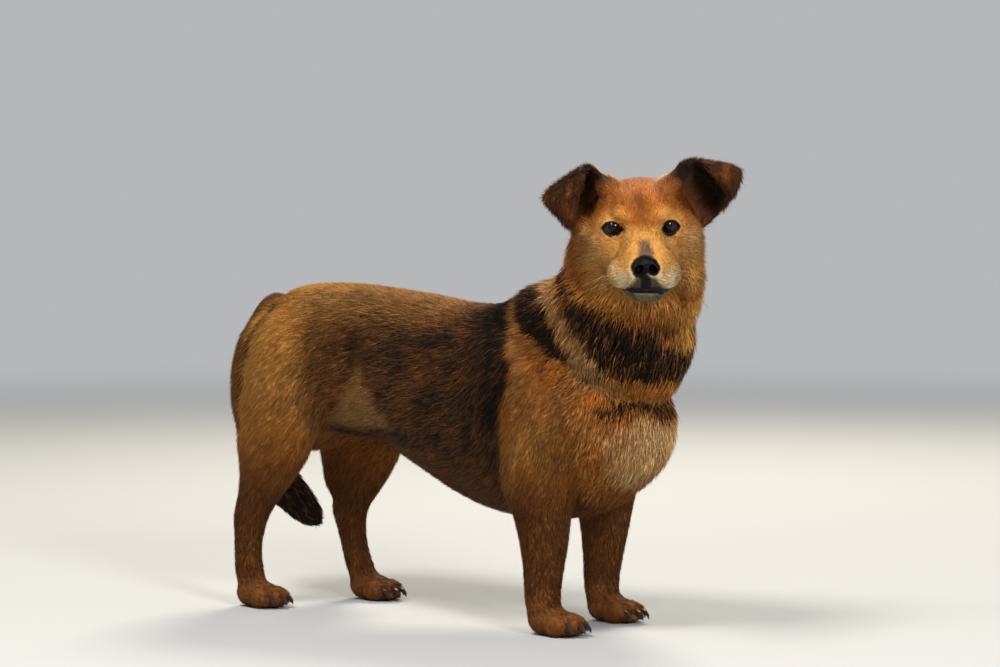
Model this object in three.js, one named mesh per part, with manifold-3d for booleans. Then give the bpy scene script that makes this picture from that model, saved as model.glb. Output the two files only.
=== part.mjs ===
// A standing short-legged mixed-breed dog, life size, as a still museum model.
// Millimetres. +X runs towards the chest, +Y to the dog's left, +Z up; the paws stand on Z = 0.
// All surfaces are the outside of the coat. The head is modelled in its own frame, whose origin lies
// midway between the eyes, +X to the nose, and is then turned to look over the right shoulder.
import * as THREE from "three";
import { mergeVertices } from "three/addons/utils/BufferGeometryUtils.js";
import Module from "manifold-3d";

const wasm = await Module();
wasm.setup();

// ---- driving dimensions ----
const GAP = 0.3; // between neighbouring pieces
const SEAM = 0.35; // width of the thin cuts that part the body
const RUMP_END = -258;
const CHEST_END = 284;
const TRACK_FRONT = 60; // half the distance between the forelegs
const TRACK_REAR = 60;
const FAR = 2000; // side of the boxes that stand for half-spaces

// How finely each piece is faceted.
const DETAIL = {
  trunk: { rings: 17, around: 16 },
  neck: { rings: 11, around: 14 },
  foreleg: { rings: 13, around: 10 },
  hindleg: { rings: 14, around: 10 },
  instep: { rings: 5, around: 8 },
  toe: { rings: 4, around: 7 },
  claw: { rings: 4, around: 5 },
  tail: { rings: 13, around: 10 },
  head: { rings: 20, around: 16 },
  jaw: { rings: 8, around: 12 },
  nose: { rings: 7, around: 12 },
  nostril: { rings: 5, around: 6 },
  eye: { rings: 8, around: 12 },
  lids: { rings: 6, around: 10 },
  ear: { columns: 5, lengths: 10 },
};

const HEAD = {
  eyes: new THREE.Vector3(316, -96, 419), // the point midway between the eyes
  yaw: -55.3,
  pitch: 14, // nose down
  roll: 1.8,
};
const EYE = { radius: 10.6, behind: 6.5, aside: 27, below: 0 };

// ---- colours ----
const coat = { rust: 0x9a5526, saddle: 0x3b2a20, neck: 0x6e472a, face: 0xb3702f, leg: 0x7d452a };
const finish = (color, roughness = 0.85) =>
  new THREE.MeshStandardMaterial({ color, roughness, metalness: 0 });
const rustCoat = finish(coat.rust);
const saddleCoat = finish(coat.saddle);
const neckCoat = finish(coat.neck);
const faceCoat = finish(coat.face);
const legCoat = finish(coat.leg);
const noseLeather = finish(0x15120f, 0.35);
const eyeGloss = finish(0x1a0f08, 0.08);
const clawHorn = finish(0x2a221c, 0.45);

// ---- shape tools ----
const radians = THREE.MathUtils.degToRad;
const vector = (x, y, z) => new THREE.Vector3(x, y, z);

function solidOf(geometry) {
  const bare = geometry.clone();
  bare.deleteAttribute("normal");
  bare.deleteAttribute("uv");
  const merged = mergeVertices(bare, 1e-4);
  const corners = new Uint32Array(merged.index.array);
  const make = () =>
    new wasm.Manifold(
      new wasm.Mesh({
        numProp: 3,
        vertProperties: merged.attributes.position.array,
        triVerts: corners,
      }),
    );
  const made = make();
  if (made.volume() > 0) return made;
  for (let i = 0; i < corners.length; i += 3)
    [corners[i + 1], corners[i + 2]] = [corners[i + 2], corners[i + 1]];
  return make();
}

function geometryOf(solid) {
  const { numProp, vertProperties, triVerts } = solid.getMesh();
  const positions = new Float32Array((vertProperties.length / numProp) * 3);
  for (let i = 0; i < positions.length / 3; i++)
    positions.set(vertProperties.subarray(i * numProp, i * numProp + 3), i * 3);
  const geometry = new THREE.BufferGeometry();
  geometry.setAttribute("position", new THREE.BufferAttribute(positions, 3));
  geometry.setIndex(new THREE.BufferAttribute(triVerts, 1));
  geometry.computeVertexNormals();
  return geometry;
}

// A closed body through oval sections along a path. Each section has its centre `at`, its half
// width `half` along the side axis, and its reach `up` and `down` on the other axis. `egg` makes
// it narrower above than below, `square` above 2 fills its corners. The first and last sections
// close to a point, rounded. With `axis` all sections are square to it, or else to the path.
function loft(sections, { rings, around, axis, side = vector(0, 1, 0), grow = 0, relief }) {
  const centres = new THREE.CatmullRomCurve3(sections.map((s) => s.at));
  const curveOf = (x, y, z) =>
    new THREE.CatmullRomCurve3(sections.map((s) => vector(x(s), y(s), z(s))), false, "catmullrom", 0.5);
  const reach = curveOf((s) => s.half ** 2, (s) => s.up ** 2, (s) => s.down ** 2);
  const form = curveOf((s) => s.egg ?? 0, (s) => s.square ?? 2.2, () => 0);
  const geometry = new THREE.SphereGeometry(1, around, rings);
  const place = geometry.attributes.position;
  const power = (value, exponent) => Math.sign(value) * Math.abs(value) ** exponent;
  const rooted = (value) => Math.sqrt(Math.max(value, 0));
  for (let ring = 0; ring <= rings; ring++) {
    const t = ring / rings;
    const centre = centres.getPoint(t);
    const along = axis ?? centres.getTangent(t);
    const across = side.clone().addScaledVector(along, -side.dot(along)).normalize();
    const over = along.clone().cross(across);
    const [half, up, down] = reach.getPoint(t).toArray().map(rooted);
    const { x: egg, y: square } = form.getPoint(t);
    const end = ring === 0 || ring === rings;
    for (let column = 0; column <= around; column++) {
      const angle = (column / around) * 2 * Math.PI;
      const s = power(Math.sin(angle), 2 / square);
      const c = power(Math.cos(angle), 2 / square);
      const a = end ? 0 : c * (half * (1 - egg * s) + grow);
      const b = end ? 0 : s * ((s > 0 ? up : down) + grow);
      const point = centre.clone().addScaledVector(across, a).addScaledVector(over, b);
      if (end) point.addScaledVector(along, ring ? grow : -grow);
      if (relief) point.add(relief(point));
      place.setXYZ(ring * (around + 1) + column, point.x, point.y, point.z);
    }
  }
  return geometry;
}

// Soft bumps and hollows: each moves the surface near `at` by `push`, fading over `reach`.
const reliefOf = (bumps) => (point) =>
  bumps.reduce(
    (sum, { at, push, reach }) =>
      sum.addScaledVector(push, Math.exp(-point.distanceToSquared(at) / (reach * reach))),
    vector(0, 0, 0),
  );

const bothSides = (bumps) =>
  bumps.flatMap((bump) => [
    bump,
    {
      ...bump,
      at: bump.at.clone().multiply(vector(1, -1, 1)),
      push: bump.push.clone().multiply(vector(1, -1, 1)),
    },
  ]);

const ellipsoid = (at, size, { rings, around }) =>
  new THREE.SphereGeometry(1, around, rings)
    .scale(size.x, size.y, size.z)
    .translate(at.x, at.y, at.z);

// Everything on the side of a plane that `normal` points to.
function halfSpace(point, normal) {
  const box = new THREE.BoxGeometry(FAR, FAR, FAR).translate(0, 0, FAR / 2);
  const turn = new THREE.Quaternion().setFromUnitVectors(vector(0, 0, 1), normal.clone().normalize());
  return solidOf(box.applyQuaternion(turn).translate(point.x, point.y, point.z));
}

// The two sides of a thin cut: [the side the normal points to, the other side].
function cut(solid, point, normal) {
  const unit = normal.clone().normalize();
  const step = unit.clone().multiplyScalar(SEAM / 2);
  return [
    solid.intersect(halfSpace(point.clone().add(step), unit)),
    solid.intersect(halfSpace(point.clone().sub(step), unit.clone().negate())),
  ];
}

// The largest body, which drops slivers that a cut leaves.
const mainBody = (solid) =>
  solid.decompose().reduce((best, body) => (body.volume() > best.volume() ? body : best));

// ---- trunk ----
// Each row: distance along the back, top line, under line, half width, egg.
const trunkRows = [
  { x: RUMP_END, top: 274, bottom: 274, half: 0 },
  { x: -246, top: 316, bottom: 226, half: 42 },
  { x: -222, top: 344, bottom: 198, half: 60 },
  { x: -184, top: 356, bottom: 184, half: 72 },
  { x: -132, top: 360, bottom: 184, half: 77, egg: 0.04 },
  { x: -80, top: 357, bottom: 188, half: 77, egg: 0.02 },
  { x: -36, top: 352, bottom: 174, half: 80, egg: 0.02 },
  { x: 4, top: 347, bottom: 153, half: 86 },
  { x: 44, top: 340, bottom: 133, half: 91, egg: -0.02 },
  { x: 84, top: 339, bottom: 118, half: 95, egg: -0.02 },
  { x: 124, top: 346, bottom: 111, half: 97 },
  { x: 164, top: 343, bottom: 112, half: 95, egg: 0.04 },
  { x: 204, top: 328, bottom: 120, half: 88, egg: 0.06 },
  { x: 240, top: 308, bottom: 138, half: 78, egg: 0.04 },
  { x: 268, top: 285, bottom: 166, half: 60 },
  { x: CHEST_END, top: 222, bottom: 222, half: 0 },
];
const flat = (rows) =>
  rows.map(({ x, top, bottom, ...rest }) => ({
    at: vector(x, rest.y ?? 0, (top + bottom) / 2),
    up: (top - bottom) / 2,
    down: (top - bottom) / 2,
    ...rest,
  }));
const trunkShape = solidOf(loft(flat(trunkRows), { ...DETAIL.trunk, axis: vector(1, 0, 0) }));

// ---- neck: up and forward from the shoulders, with a thick ruff ----
const neckRows = [
  { at: vector(96, 0, 222), half: 0, up: 0, down: 0 },
  { at: vector(118, 0, 246), half: 74, up: 82, down: 84 },
  { at: vector(160, 0, 280), half: 84, up: 86, down: 112 },
  { at: vector(204, -6, 312), half: 82, up: 70, down: 114 },
  { at: vector(240, -16, 344), half: 77, up: 60, down: 92 },
  { at: vector(264, -28, 374), half: 71, up: 70, down: 73 },
  { at: vector(276, -40, 402), half: 63, up: 73, down: 58 },
  { at: vector(282, -46, 438), half: 0, up: 0, down: 0 },
];
const neckShape = solidOf(loft(neckRows, DETAIL.neck));

// ---- legs: sections from the top down, each with its place, reach front and back, half width ----
const legPath = (rows, sign) =>
  rows.map(({ x, y, z, front, back, half, ...rest }) => ({
    at: vector(x, sign * y, z),
    half,
    up: front,
    down: back,
    ...rest,
  }));
const legLoft = (leg) =>
  solidOf(loft(legPath(leg.table, leg.sign), { ...leg.detail, axis: vector(0, 0, -1) }));

// A straight-sided plug through one flank that takes in a whole leg. Its outline runs a little
// outside the leg's front and back edges down to `narrowTo`, and is a plain block round the foot.
const PLUG = {
  margin: 5,
  inner: 28,
  depth: 110,
  steps: 16,
  narrowTo: 80,
  footBlock: 60,
  ahead: 90,
  behind: 50,
};
function legPlug({ table, sign, foot }, grow = 0) {
  const [top, ...below] = table.filter((row) => row.z > PLUG.narrowTo);
  const edge = (way) =>
    below.map((row) => {
      const reach = way > 0 ? row.front : row.back;
      return new THREE.Vector2(row.x + way * (reach + PLUG.margin + grow), row.z);
    });
  const crest = new THREE.Vector2(top.x, top.z + PLUG.margin + grow);
  const sides = new THREE.SplineCurve([...edge(-1).reverse(), crest, ...edge(1)]);
  const corners = [
    [PLUG.ahead, PLUG.footBlock],
    [PLUG.ahead, -PLUG.margin],
    [-PLUG.behind, -PLUG.margin],
    [-PLUG.behind, PLUG.footBlock],
  ].map(([x, z]) => new THREE.Vector2(foot.x + x, z));
  const outline = [...sides.getPoints(PLUG.steps), ...corners];
  const depth = PLUG.depth + grow;
  const block = new THREE.ExtrudeGeometry(new THREE.Shape(outline), { depth, bevelEnabled: false });
  block.rotateX(Math.PI / 2); // the outline's height becomes Z, and it runs from Y = 0 to -depth
  const near = PLUG.inner - grow;
  return solidOf(block.translate(0, sign < 0 ? -near : near + depth, 0));
}

const foreleg = (leg) => [
  { x: 124, y: 58, z: 322, front: 0, back: 0, half: 0 },
  { x: 128, y: 64, z: 306, front: 36, back: 34, half: 26 },
  { x: 139, y: 70, z: 270, front: 56, back: 50, half: 32 },
  { x: 157, y: 73, z: 228, front: 62, back: 62, half: 34 },
  { x: 169, y: 72, z: 188, front: 54, back: 54, half: 34 },
  { x: 175 + leg.step, y: 68, z: 150, front: 38, back: 41, half: 32 },
  { x: 177 + leg.step, y: leg.y + 3, z: 118, front: 30, back: 31, half: 28 },
  { x: 177 + leg.step, y: leg.y + 1, z: 86, front: 25, back: 25, half: 24 },
  { x: 176 + leg.step, y: leg.y, z: 58, front: 20, back: 22, half: 20 },
  { x: 175 + leg.step, y: leg.y, z: 38, front: 18, back: 21, half: 19 },
  { x: 177 + leg.step, y: leg.y, z: 18, front: 18, back: 18, half: 18 },
  { x: 179 + leg.step, y: leg.y, z: 4, front: 0, back: 0, half: 0 },
];

const hindleg = (leg) => [
  { x: -176, y: 44, z: 334, front: 0, back: 0, half: 0 },
  { x: -178, y: 50, z: 320, front: 46, back: 40, half: 28 },
  { x: -178, y: 57, z: 278, front: 63, back: 56, half: 35 },
  { x: -174 + 0.25 * leg.step, y: 61, z: 232, front: 66, back: 62 + leg.stretch, half: 35 },
  { x: -170 + 0.6 * leg.step, y: 63, z: 190, front: 54, back: 59 + leg.stretch, half: 32 },
  { x: -180 + 0.85 * leg.step, y: leg.y + 2, z: 152, front: 36, back: 41 + leg.stretch / 2, half: 26 },
  { x: -197 + leg.step, y: leg.y + 1, z: 124, front: 27, back: 28 + leg.stretch / 4, half: 22 },
  { x: -209 + leg.step, y: leg.y, z: 102, front: 20, back: 24 + leg.stretch / 4, half: 19 },
  { x: -214 + leg.step + leg.slope, y: leg.y, z: 76, front: 16, back: 18, half: 16 },
  { x: -215 + leg.step + 2 * leg.slope, y: leg.y, z: 48, front: 15, back: 16, half: 16 },
  { x: -211 + leg.step + 2.6 * leg.slope, y: leg.y, z: 26, front: 17, back: 16, half: 17 },
  { x: -208 + leg.step + 3 * leg.slope, y: leg.y, z: 5, front: 0, back: 0, half: 0 },
];

// Where each kind of leg is parted: heights of the two cuts, and how far the upper one slants.
const fore = {
  rows: foreleg,
  y: TRACK_FRONT,
  detail: DETAIL.foreleg,
  names: ["upper_arm", "forearm", "paw"],
  elbow: 146,
  wrist: 46,
  slant: 0,
};
const hind = {
  rows: hindleg,
  y: TRACK_REAR,
  detail: DETAIL.hindleg,
  names: ["thigh", "shank", "paw"],
  elbow: 140,
  wrist: 40,
  slant: 0.35,
};

// The four legs. `step` moves a leg forward, `slope` leans the hind pastern, and `stretch` fills
// out the back of the thigh.
const legs = [
  { name: "foreleg_right", ...fore, sign: -1, step: 0 },
  { name: "foreleg_left", ...fore, sign: 1, step: -3 },
  { name: "hindleg_right", ...hind, sign: -1, step: 0, slope: 0, stretch: 0 },
  { name: "hindleg_left", ...hind, sign: 1, step: 46, slope: 7, stretch: 10 },
].map((leg) => {
  const table = leg.rows(leg);
  const ankle = table[table.length - 1];
  return { ...leg, table, foot: vector(ankle.x, leg.sign * ankle.y, 0) };
});

// ---- paws: an instep and four toes each, cut flat where they stand on the floor ----
const TOES = [
  { aside: -15, forward: 20, size: vector(15, 8.2, 12.5) },
  { aside: -5.8, forward: 29, size: vector(16, 8.4, 13.5) },
  { aside: 5.8, forward: 29, size: vector(16, 8.4, 13.5) },
  { aside: 15, forward: 20, size: vector(15, 8.2, 12.5) },
];
const TOE_CENTRE_HEIGHT = 11;
const toeShape = (ankle, { aside, forward, size }, grow = 0) =>
  ellipsoid(
    vector(ankle.x + forward, ankle.y + aside, TOE_CENTRE_HEIGHT),
    size.clone().addScalar(grow),
    DETAIL.toe,
  );
function pawShape(ankle) {
  const instep = ellipsoid(vector(ankle.x + 4, ankle.y, 15), vector(27, 20, 17), DETAIL.instep);
  const toes = TOES.map((toe) => toeShape(ankle, toe));
  return toes.reduce((sum, piece) => sum.add(solidOf(piece)), solidOf(instep));
}

// A claw: a short horn that curves down in front of its toe.
function clawShape(ankle, toe) {
  const tip = vector(ankle.x + toe.forward + toe.size.x, ankle.y + toe.aside, TOE_CENTRE_HEIGHT);
  const claw = [
    { at: tip.clone().add(vector(-6, 0, 3)), half: 0, up: 0, down: 0 },
    { at: tip.clone().add(vector(-4, 0, 3)), half: 2.3, up: 2.8, down: 2.8 },
    { at: tip.clone().add(vector(1, 0, 1)), half: 2.1, up: 2.6, down: 2.6 },
    { at: tip.clone().add(vector(4.5, 0, -2.5)), half: 1.5, up: 1.8, down: 1.8 },
    { at: tip.clone().add(vector(6, 0, -7)), half: 0, up: 0, down: 0 },
  ];
  const horn = solidOf(loft(claw, DETAIL.claw));
  return TOES.reduce((left, each) => left.subtract(solidOf(toeShape(ankle, each, GAP))), horn);
}

// ---- tail: hangs behind the thighs and curls forward between them ----
const tailRows = [
  { at: vector(-204, 0, 340), half: 0, up: 0, down: 0 },
  { at: vector(-222, 0, 333), half: 20, up: 17, down: 17 },
  { at: vector(-242, 0, 300), half: 20, up: 18, down: 17 },
  { at: vector(-250, 1, 252), half: 20, up: 18, down: 17 },
  { at: vector(-250, 3, 204), half: 21, up: 20, down: 18 },
  { at: vector(-242, 6, 162), half: 22, up: 24, down: 20 },
  { at: vector(-219, 10, 126), half: 21, up: 24, down: 21 },
  { at: vector(-190, 13, 101), half: 17, up: 19, down: 18 },
  { at: vector(-166, 16, 84), half: 0, up: 0, down: 0 },
];
const tailLoft = (grow) => solidOf(loft(tailRows, { ...DETAIL.tail, grow }));

// ---- head ----
// Each row: distance from the eyes, top line, under line, half width, egg, square.
const headRows = [
  { x: -112, top: -10, bottom: -10, half: 0 },
  { x: -103, top: 16, bottom: -44, half: 38 },
  { x: -84, top: 31, bottom: -74, half: 54, egg: 0.06, square: 2.3 },
  { x: -62, top: 38, bottom: -86, half: 60, egg: 0.12, square: 2.4 },
  { x: -40, top: 39, bottom: -88, half: 60, egg: 0.18, square: 2.4 },
  { x: -22, top: 38, bottom: -78, half: 56, egg: 0.18, square: 2.3 },
  { x: -8, top: 34, bottom: -68, half: 48, egg: 0.18 },
  { x: 4, top: 24, bottom: -60, half: 41, egg: 0.2 },
  { x: 15, top: 13, bottom: -56, half: 36, egg: 0.26 },
  { x: 28, top: 6.5, bottom: -54, half: 33, egg: 0.3, square: 2.4 },
  { x: 44, top: 3, bottom: -52, half: 30.5, egg: 0.3, square: 2.5 },
  { x: 58, top: 0, bottom: -49.5, half: 28, egg: 0.26, square: 2.6 },
  { x: 70, top: -4, bottom: -46, half: 24, egg: 0.16, square: 2.5 },
  { x: 78, top: -11, bottom: -40, half: 17, egg: 0.1 },
  { x: 81, top: -24, bottom: -24, half: 0 },
];
const faceBumps = bothSides([
  { at: vector(2, 21, 20), push: vector(2, 1, 3.5), reach: 12 }, // brow
  { at: vector(6, 27, -1), push: vector(-3, -3, 0), reach: 12 }, // eye hollow
  { at: vector(-6, 44, -16), push: vector(2, 3, 0), reach: 16 }, // cheekbone
  { at: vector(56, 26, -38), push: vector(1, 3, -1), reach: 15 }, // upper lip pad
  { at: vector(28, 26, -8), push: vector(0, -3, 0), reach: 14 }, // dip beside the bridge
  { at: vector(-52, 66, -40), push: vector(0, 4, -3), reach: 26 }, // cheek ruff
]);
const midBumps = [
  { at: vector(2, 0, 26), push: vector(-3, 0, -3), reach: 10 }, // furrow of the stop
];
const headShape = (grow) =>
  solidOf(
    loft(flat(headRows), {
      ...DETAIL.head,
      axis: vector(1, 0, 0),
      relief: reliefOf([...faceBumps, ...midBumps]),
      grow,
    }),
  );

const jawRows = [
  { x: -30, top: -56, bottom: -56, half: 0 },
  { x: -16, top: -42, bottom: -74, half: 32 },
  { x: 6, top: -40, bottom: -73, half: 29 },
  { x: 30, top: -38, bottom: -68, half: 24, square: 2.4 },
  { x: 52, top: -38, bottom: -62, half: 20, square: 2.5 },
  { x: 64, top: -40, bottom: -58.5, half: 16, square: 2.4 },
  { x: 71, top: -47, bottom: -47, half: 0 },
];
const jawShape = (grow) =>
  solidOf(loft(flat(jawRows), { ...DETAIL.jaw, axis: vector(1, 0, 0), grow }));

const eyeBall = (side, grow = 0) => {
  const size = vector(1, 1, 1).multiplyScalar(EYE.radius + grow);
  return solidOf(ellipsoid(vector(-EYE.behind, side * EYE.aside, EYE.below), size, DETAIL.eye));
};
// The almond opening between the lids, tilted up towards the ear.
const LIDS = { size: vector(14, 11, 7), tilt: 8, turn: 18, ahead: 5, out: 0.5 };
const lidOpening = (side) =>
  solidOf(
    ellipsoid(vector(0, 0, 0), LIDS.size, DETAIL.lids)
      .rotateX(side * radians(LIDS.tilt))
      .rotateZ(side * radians(LIDS.turn))
      .translate(LIDS.ahead, side * (EYE.aside + LIDS.out), EYE.below),
  );

const NOSE = vector(74, 0, -21.5); // the middle of the pad
const noseRows = [
  { at: NOSE.clone().add(vector(-12, 0, 0)), half: 0, up: 0, down: 0 },
  { at: NOSE.clone().add(vector(-8, 0, 0)), half: 12.5, up: 9.5, down: 10 },
  { at: NOSE.clone(), half: 14.2, up: 11.5, down: 13 },
  { at: NOSE.clone().add(vector(7, 0, -1)), half: 12.5, up: 9.5, down: 12 },
  { at: NOSE.clone().add(vector(11, 0, -2)), half: 0, up: 0, down: 0 },
];
const noseShape = (grow) =>
  solidOf(loft(noseRows, { ...DETAIL.nose, axis: vector(1, 0, 0), grow }));
const NOSTRIL = { size: vector(9, 3.6, 3.4), turn: 24, ahead: 10, aside: 6.4, above: 0.5 };
const nostril = (side) =>
  solidOf(
    ellipsoid(vector(0, 0, 0), NOSTRIL.size, DETAIL.nostril)
      .rotateZ(side * radians(NOSTRIL.turn))
      .translate(NOSE.x + NOSTRIL.ahead, side * NOSTRIL.aside, NOSE.z + NOSTRIL.above),
  );

// ---- ears: leather sheets that rise, fold over and hang forward ----
// Rows run from the base to the tip; `inner` is the edge by the crown, `outer` the far edge and
// `cup` how far the middle of the row lies behind them.
const EAR_THICKNESS = { middle: 6, rim: 3.3 };
const earRight = [
  { inner: vector(-34, -30, 38), outer: vector(-58, -56, -10), cup: 16 },
  { inner: vector(-38, -40, 48), outer: vector(-60, -80, 6), cup: 14 },
  { inner: vector(-40, -50, 56), outer: vector(-54, -97, 21), cup: 6 },
  { inner: vector(-31, -54, 49), outer: vector(-44, -94, 16), cup: 0 },
  { inner: vector(-25, -63, 24), outer: vector(-33, -84, 8), cup: -1 },
  { inner: vector(-22, -69, 1), outer: vector(-25, -75, -2), cup: 0 },
];
const earLeft = [
  { inner: vector(-34, 28, 38), outer: vector(-56, 63, -17), cup: 16 },
  { inner: vector(-38, 40, 55), outer: vector(-60, 87, 5), cup: 17 },
  { inner: vector(-42, 52, 57), outer: vector(-55, 98, 27), cup: 13 },
  { inner: vector(-40, 62, 54), outer: vector(-48, 101, 45), cup: 4 },
  { inner: vector(-32, 72, 45), outer: vector(-38, 100, 37), cup: 0 },
  { inner: vector(-29, 86, 26), outer: vector(-30, 93, 23), cup: 0 },
];
function earShape(rows, grow = 0) {
  const edge = (pick) => new THREE.CatmullRomCurve3(rows.map(pick));
  const inner = edge((row) => row.inner);
  const outer = edge((row) => row.outer);
  const cup = edge((row) => vector(row.cup, 0, 0));
  const surface = (u, v) => {
    const point = inner.getPoint(v).lerp(outer.getPoint(v), u);
    point.x -= cup.getPoint(v).x * 4 * u * (1 - u);
    return point;
  };
  const step = 0.01; // for the slopes along the sheet
  const sheet = new THREE.BoxGeometry(1, 1, 1, DETAIL.ear.columns, DETAIL.ear.lengths, 1);
  const place = sheet.attributes.position;
  for (let i = 0; i < place.count; i++) {
    const u = place.getX(i) + 0.5;
    const v = place.getY(i) + 0.5;
    const alongU = surface(u + step, v).sub(surface(u - step, v));
    const alongV = surface(u, Math.min(v + step, 1)).sub(surface(u, Math.max(v - step, 0)));
    const out = alongU.cross(alongV).normalize();
    const swell = Math.sqrt(Math.max(Math.sin(Math.PI * u), 0));
    const thick = THREE.MathUtils.lerp(EAR_THICKNESS.rim, EAR_THICKNESS.middle, swell) + 2 * grow;
    const point = surface(u, v).addScaledVector(out, place.getZ(i) * thick);
    place.setXYZ(i, point.x, point.y, point.z);
  }
  return solidOf(sheet);
}

// ---- assembly ----
const headFrame = new THREE.Group();
headFrame.position.copy(HEAD.eyes);
headFrame.rotation.set(radians(HEAD.roll), radians(HEAD.pitch), radians(HEAD.yaw), "ZYX");
headFrame.updateMatrixWorld(true);
const inBody = (solid) => solid.transform(headFrame.matrixWorld.toArray());

const piece = (name, solid, material) => {
  const mesh = new THREE.Mesh(geometryOf(mainBody(solid)), material);
  mesh.name = name;
  return mesh;
};

const headRoom = headShape(GAP);
let head = headShape(0).subtract(noseShape(GAP));
for (const side of [-1, 1]) head = head.subtract(eyeBall(side, GAP)).subtract(lidOpening(side));
const jaw = jawShape(0).subtract(headRoom).subtract(noseShape(GAP));
headFrame.add(piece("head", head, faceCoat));
headFrame.add(piece("lower_jaw", jaw, faceCoat));
headFrame.add(piece("nose", noseShape(0).subtract(nostril(1)).subtract(nostril(-1)), noseLeather));
for (const [name, side, ear] of [
  ["right", -1, earRight],
  ["left", 1, earLeft],
]) {
  headFrame.add(piece(`eye_${name}`, eyeBall(side), eyeGloss));
  headFrame.add(piece(`ear_${name}`, earShape(ear).subtract(headRoom), saddleCoat));
}

// The body is one mass of trunk, neck and legs, which is then parted with thin cuts.
const dog = new THREE.Group();
dog.add(headFrame);
let flesh = trunkShape.add(neckShape);
for (const leg of legs) flesh = flesh.add(legLoft(leg)).add(pawShape(leg.foot));
flesh = flesh.intersect(halfSpace(vector(0, 0, 0), vector(0, 0, 1))).subtract(tailLoft(GAP));
for (const room of [headRoom, jawShape(GAP), earShape(earRight, GAP), earShape(earLeft, GAP)])
  flesh = flesh.subtract(inBody(room));

let middle = flesh;
for (const leg of legs) {
  const whole = flesh.intersect(legPlug(leg));
  const [upper, below] = cut(whole, vector(leg.foot.x, 0, leg.elbow), vector(leg.slant, 0, 1));
  const [lower, paw] = cut(below, vector(0, 0, leg.wrist), vector(0, 0, 1));
  dog.add(piece(`${leg.name}_${leg.names[0]}`, upper, rustCoat));
  dog.add(piece(`${leg.name}_${leg.names[1]}`, lower, legCoat));
  dog.add(piece(`${leg.name}_${leg.names[2]}`, paw, legCoat));
  TOES.forEach((toe, index) =>
    dog.add(piece(`${leg.name}_claw_${index + 1}`, clawShape(leg.foot, toe), clawHorn)),
  );
  middle = middle.subtract(legPlug(leg, GAP));
}
const WITHERS = vector(150, 0, 345); // where the back meets the neck
const NECK_WAY = vector(0.51, 0, 0.86); // square to the cut round the base of the neck
const [neck, trunk] = cut(middle, WITHERS, NECK_WAY);
dog.add(piece("neck", neck, neckCoat));
dog.add(piece("trunk", trunk, saddleCoat));
dog.add(piece("tail", tailLoft(0), rustCoat));

// The origin is on the floor, in the middle of the box round the whole animal.
const box = new THREE.Box3().setFromObject(dog, true);
dog.position.set(-(box.min.x + box.max.x) / 2, -(box.min.y + box.max.y) / 2, 0);

export default dog;
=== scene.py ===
import itertools
import math
import time

import bmesh
import bpy
import numpy as np
import openvdb
from mathutils import Euler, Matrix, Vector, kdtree


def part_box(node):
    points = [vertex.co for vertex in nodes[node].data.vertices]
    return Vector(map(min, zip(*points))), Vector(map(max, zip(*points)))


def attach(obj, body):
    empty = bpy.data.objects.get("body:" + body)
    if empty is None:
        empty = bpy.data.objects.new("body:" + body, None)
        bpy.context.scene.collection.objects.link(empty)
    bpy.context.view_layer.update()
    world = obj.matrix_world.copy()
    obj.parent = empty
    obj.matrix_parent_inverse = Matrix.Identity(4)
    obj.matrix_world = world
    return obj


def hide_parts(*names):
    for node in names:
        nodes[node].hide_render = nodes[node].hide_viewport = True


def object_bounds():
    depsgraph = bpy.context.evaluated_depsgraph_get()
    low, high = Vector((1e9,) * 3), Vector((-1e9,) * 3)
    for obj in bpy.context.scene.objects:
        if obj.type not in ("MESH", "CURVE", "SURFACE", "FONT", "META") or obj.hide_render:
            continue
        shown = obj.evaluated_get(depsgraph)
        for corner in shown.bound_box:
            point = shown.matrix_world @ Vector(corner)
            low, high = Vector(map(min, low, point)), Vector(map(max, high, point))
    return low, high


started = time.time()
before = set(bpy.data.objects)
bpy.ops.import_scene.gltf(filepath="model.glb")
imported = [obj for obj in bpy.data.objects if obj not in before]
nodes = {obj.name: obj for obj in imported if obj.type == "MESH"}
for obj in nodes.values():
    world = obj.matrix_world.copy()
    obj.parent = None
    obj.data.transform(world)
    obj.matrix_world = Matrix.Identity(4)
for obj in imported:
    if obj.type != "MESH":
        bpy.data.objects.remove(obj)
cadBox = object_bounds()
rng = np.random.default_rng(11)
scene = bpy.context.scene


def report(stage):
    print(f"{stage} after {time.time() - started:.0f} s", flush=True)


# the camera is level with the dog's eyes, three metres off its right shoulder
cameraLook = {"azimuth": 34, "pitch": 2.2, "lens": 100, "at": (1.6755, -2.4218, 0.42)}
camera = bpy.data.objects.new("camera", bpy.data.cameras.new("camera"))
scene.collection.objects.link(camera)
camera.data.lens = cameraLook["lens"]
camera.location = cameraLook["at"]
camera.rotation_euler = (math.radians(90 - cameraLook["pitch"]), 0, math.radians(cameraLook["azimuth"]))
scene.camera = camera

# the head's own axes, in millimetres: x to the nose, y to the dog's left, z up; its turns are in degrees
headTilt = {"roll": 1.8, "pitch": 14, "yaw": -55.3}
headTurn = np.array(Euler([math.radians(angle) for angle in headTilt.values()]).to_matrix())
eyes = {"behind": 6.5, "aside": 27, "ball": 10.6}
faceShift = np.array((0, -2.3, 0))  # millimetres toward the dog's right, for lids, nose and mouth


def middleOf(node):
    low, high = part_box(node)
    return (np.array(low) + np.array(high)) / 2


eyeMiddles = {-1: middleOf("eye_right"), 1: middleOf("eye_left")}
faceAside = headTurn @ faceShift / 1000
eyeMiddles = {side: at + faceAside for side, at in eyeMiddles.items()}
headAt = sum(eyeMiddles.values()) / 2 + headTurn @ (eyes["behind"] / 1000, 0, 0)


def toHead(points):
    return (points - headAt) @ headTurn * 1000


def fromHead(local):
    return headAt + np.asarray(local) / 1000 @ headTurn.T


def ease(low, high, value):
    t = np.clip((value - low) / (high - low), 0, 1)
    return t * t * (3 - 2 * t)


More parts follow.
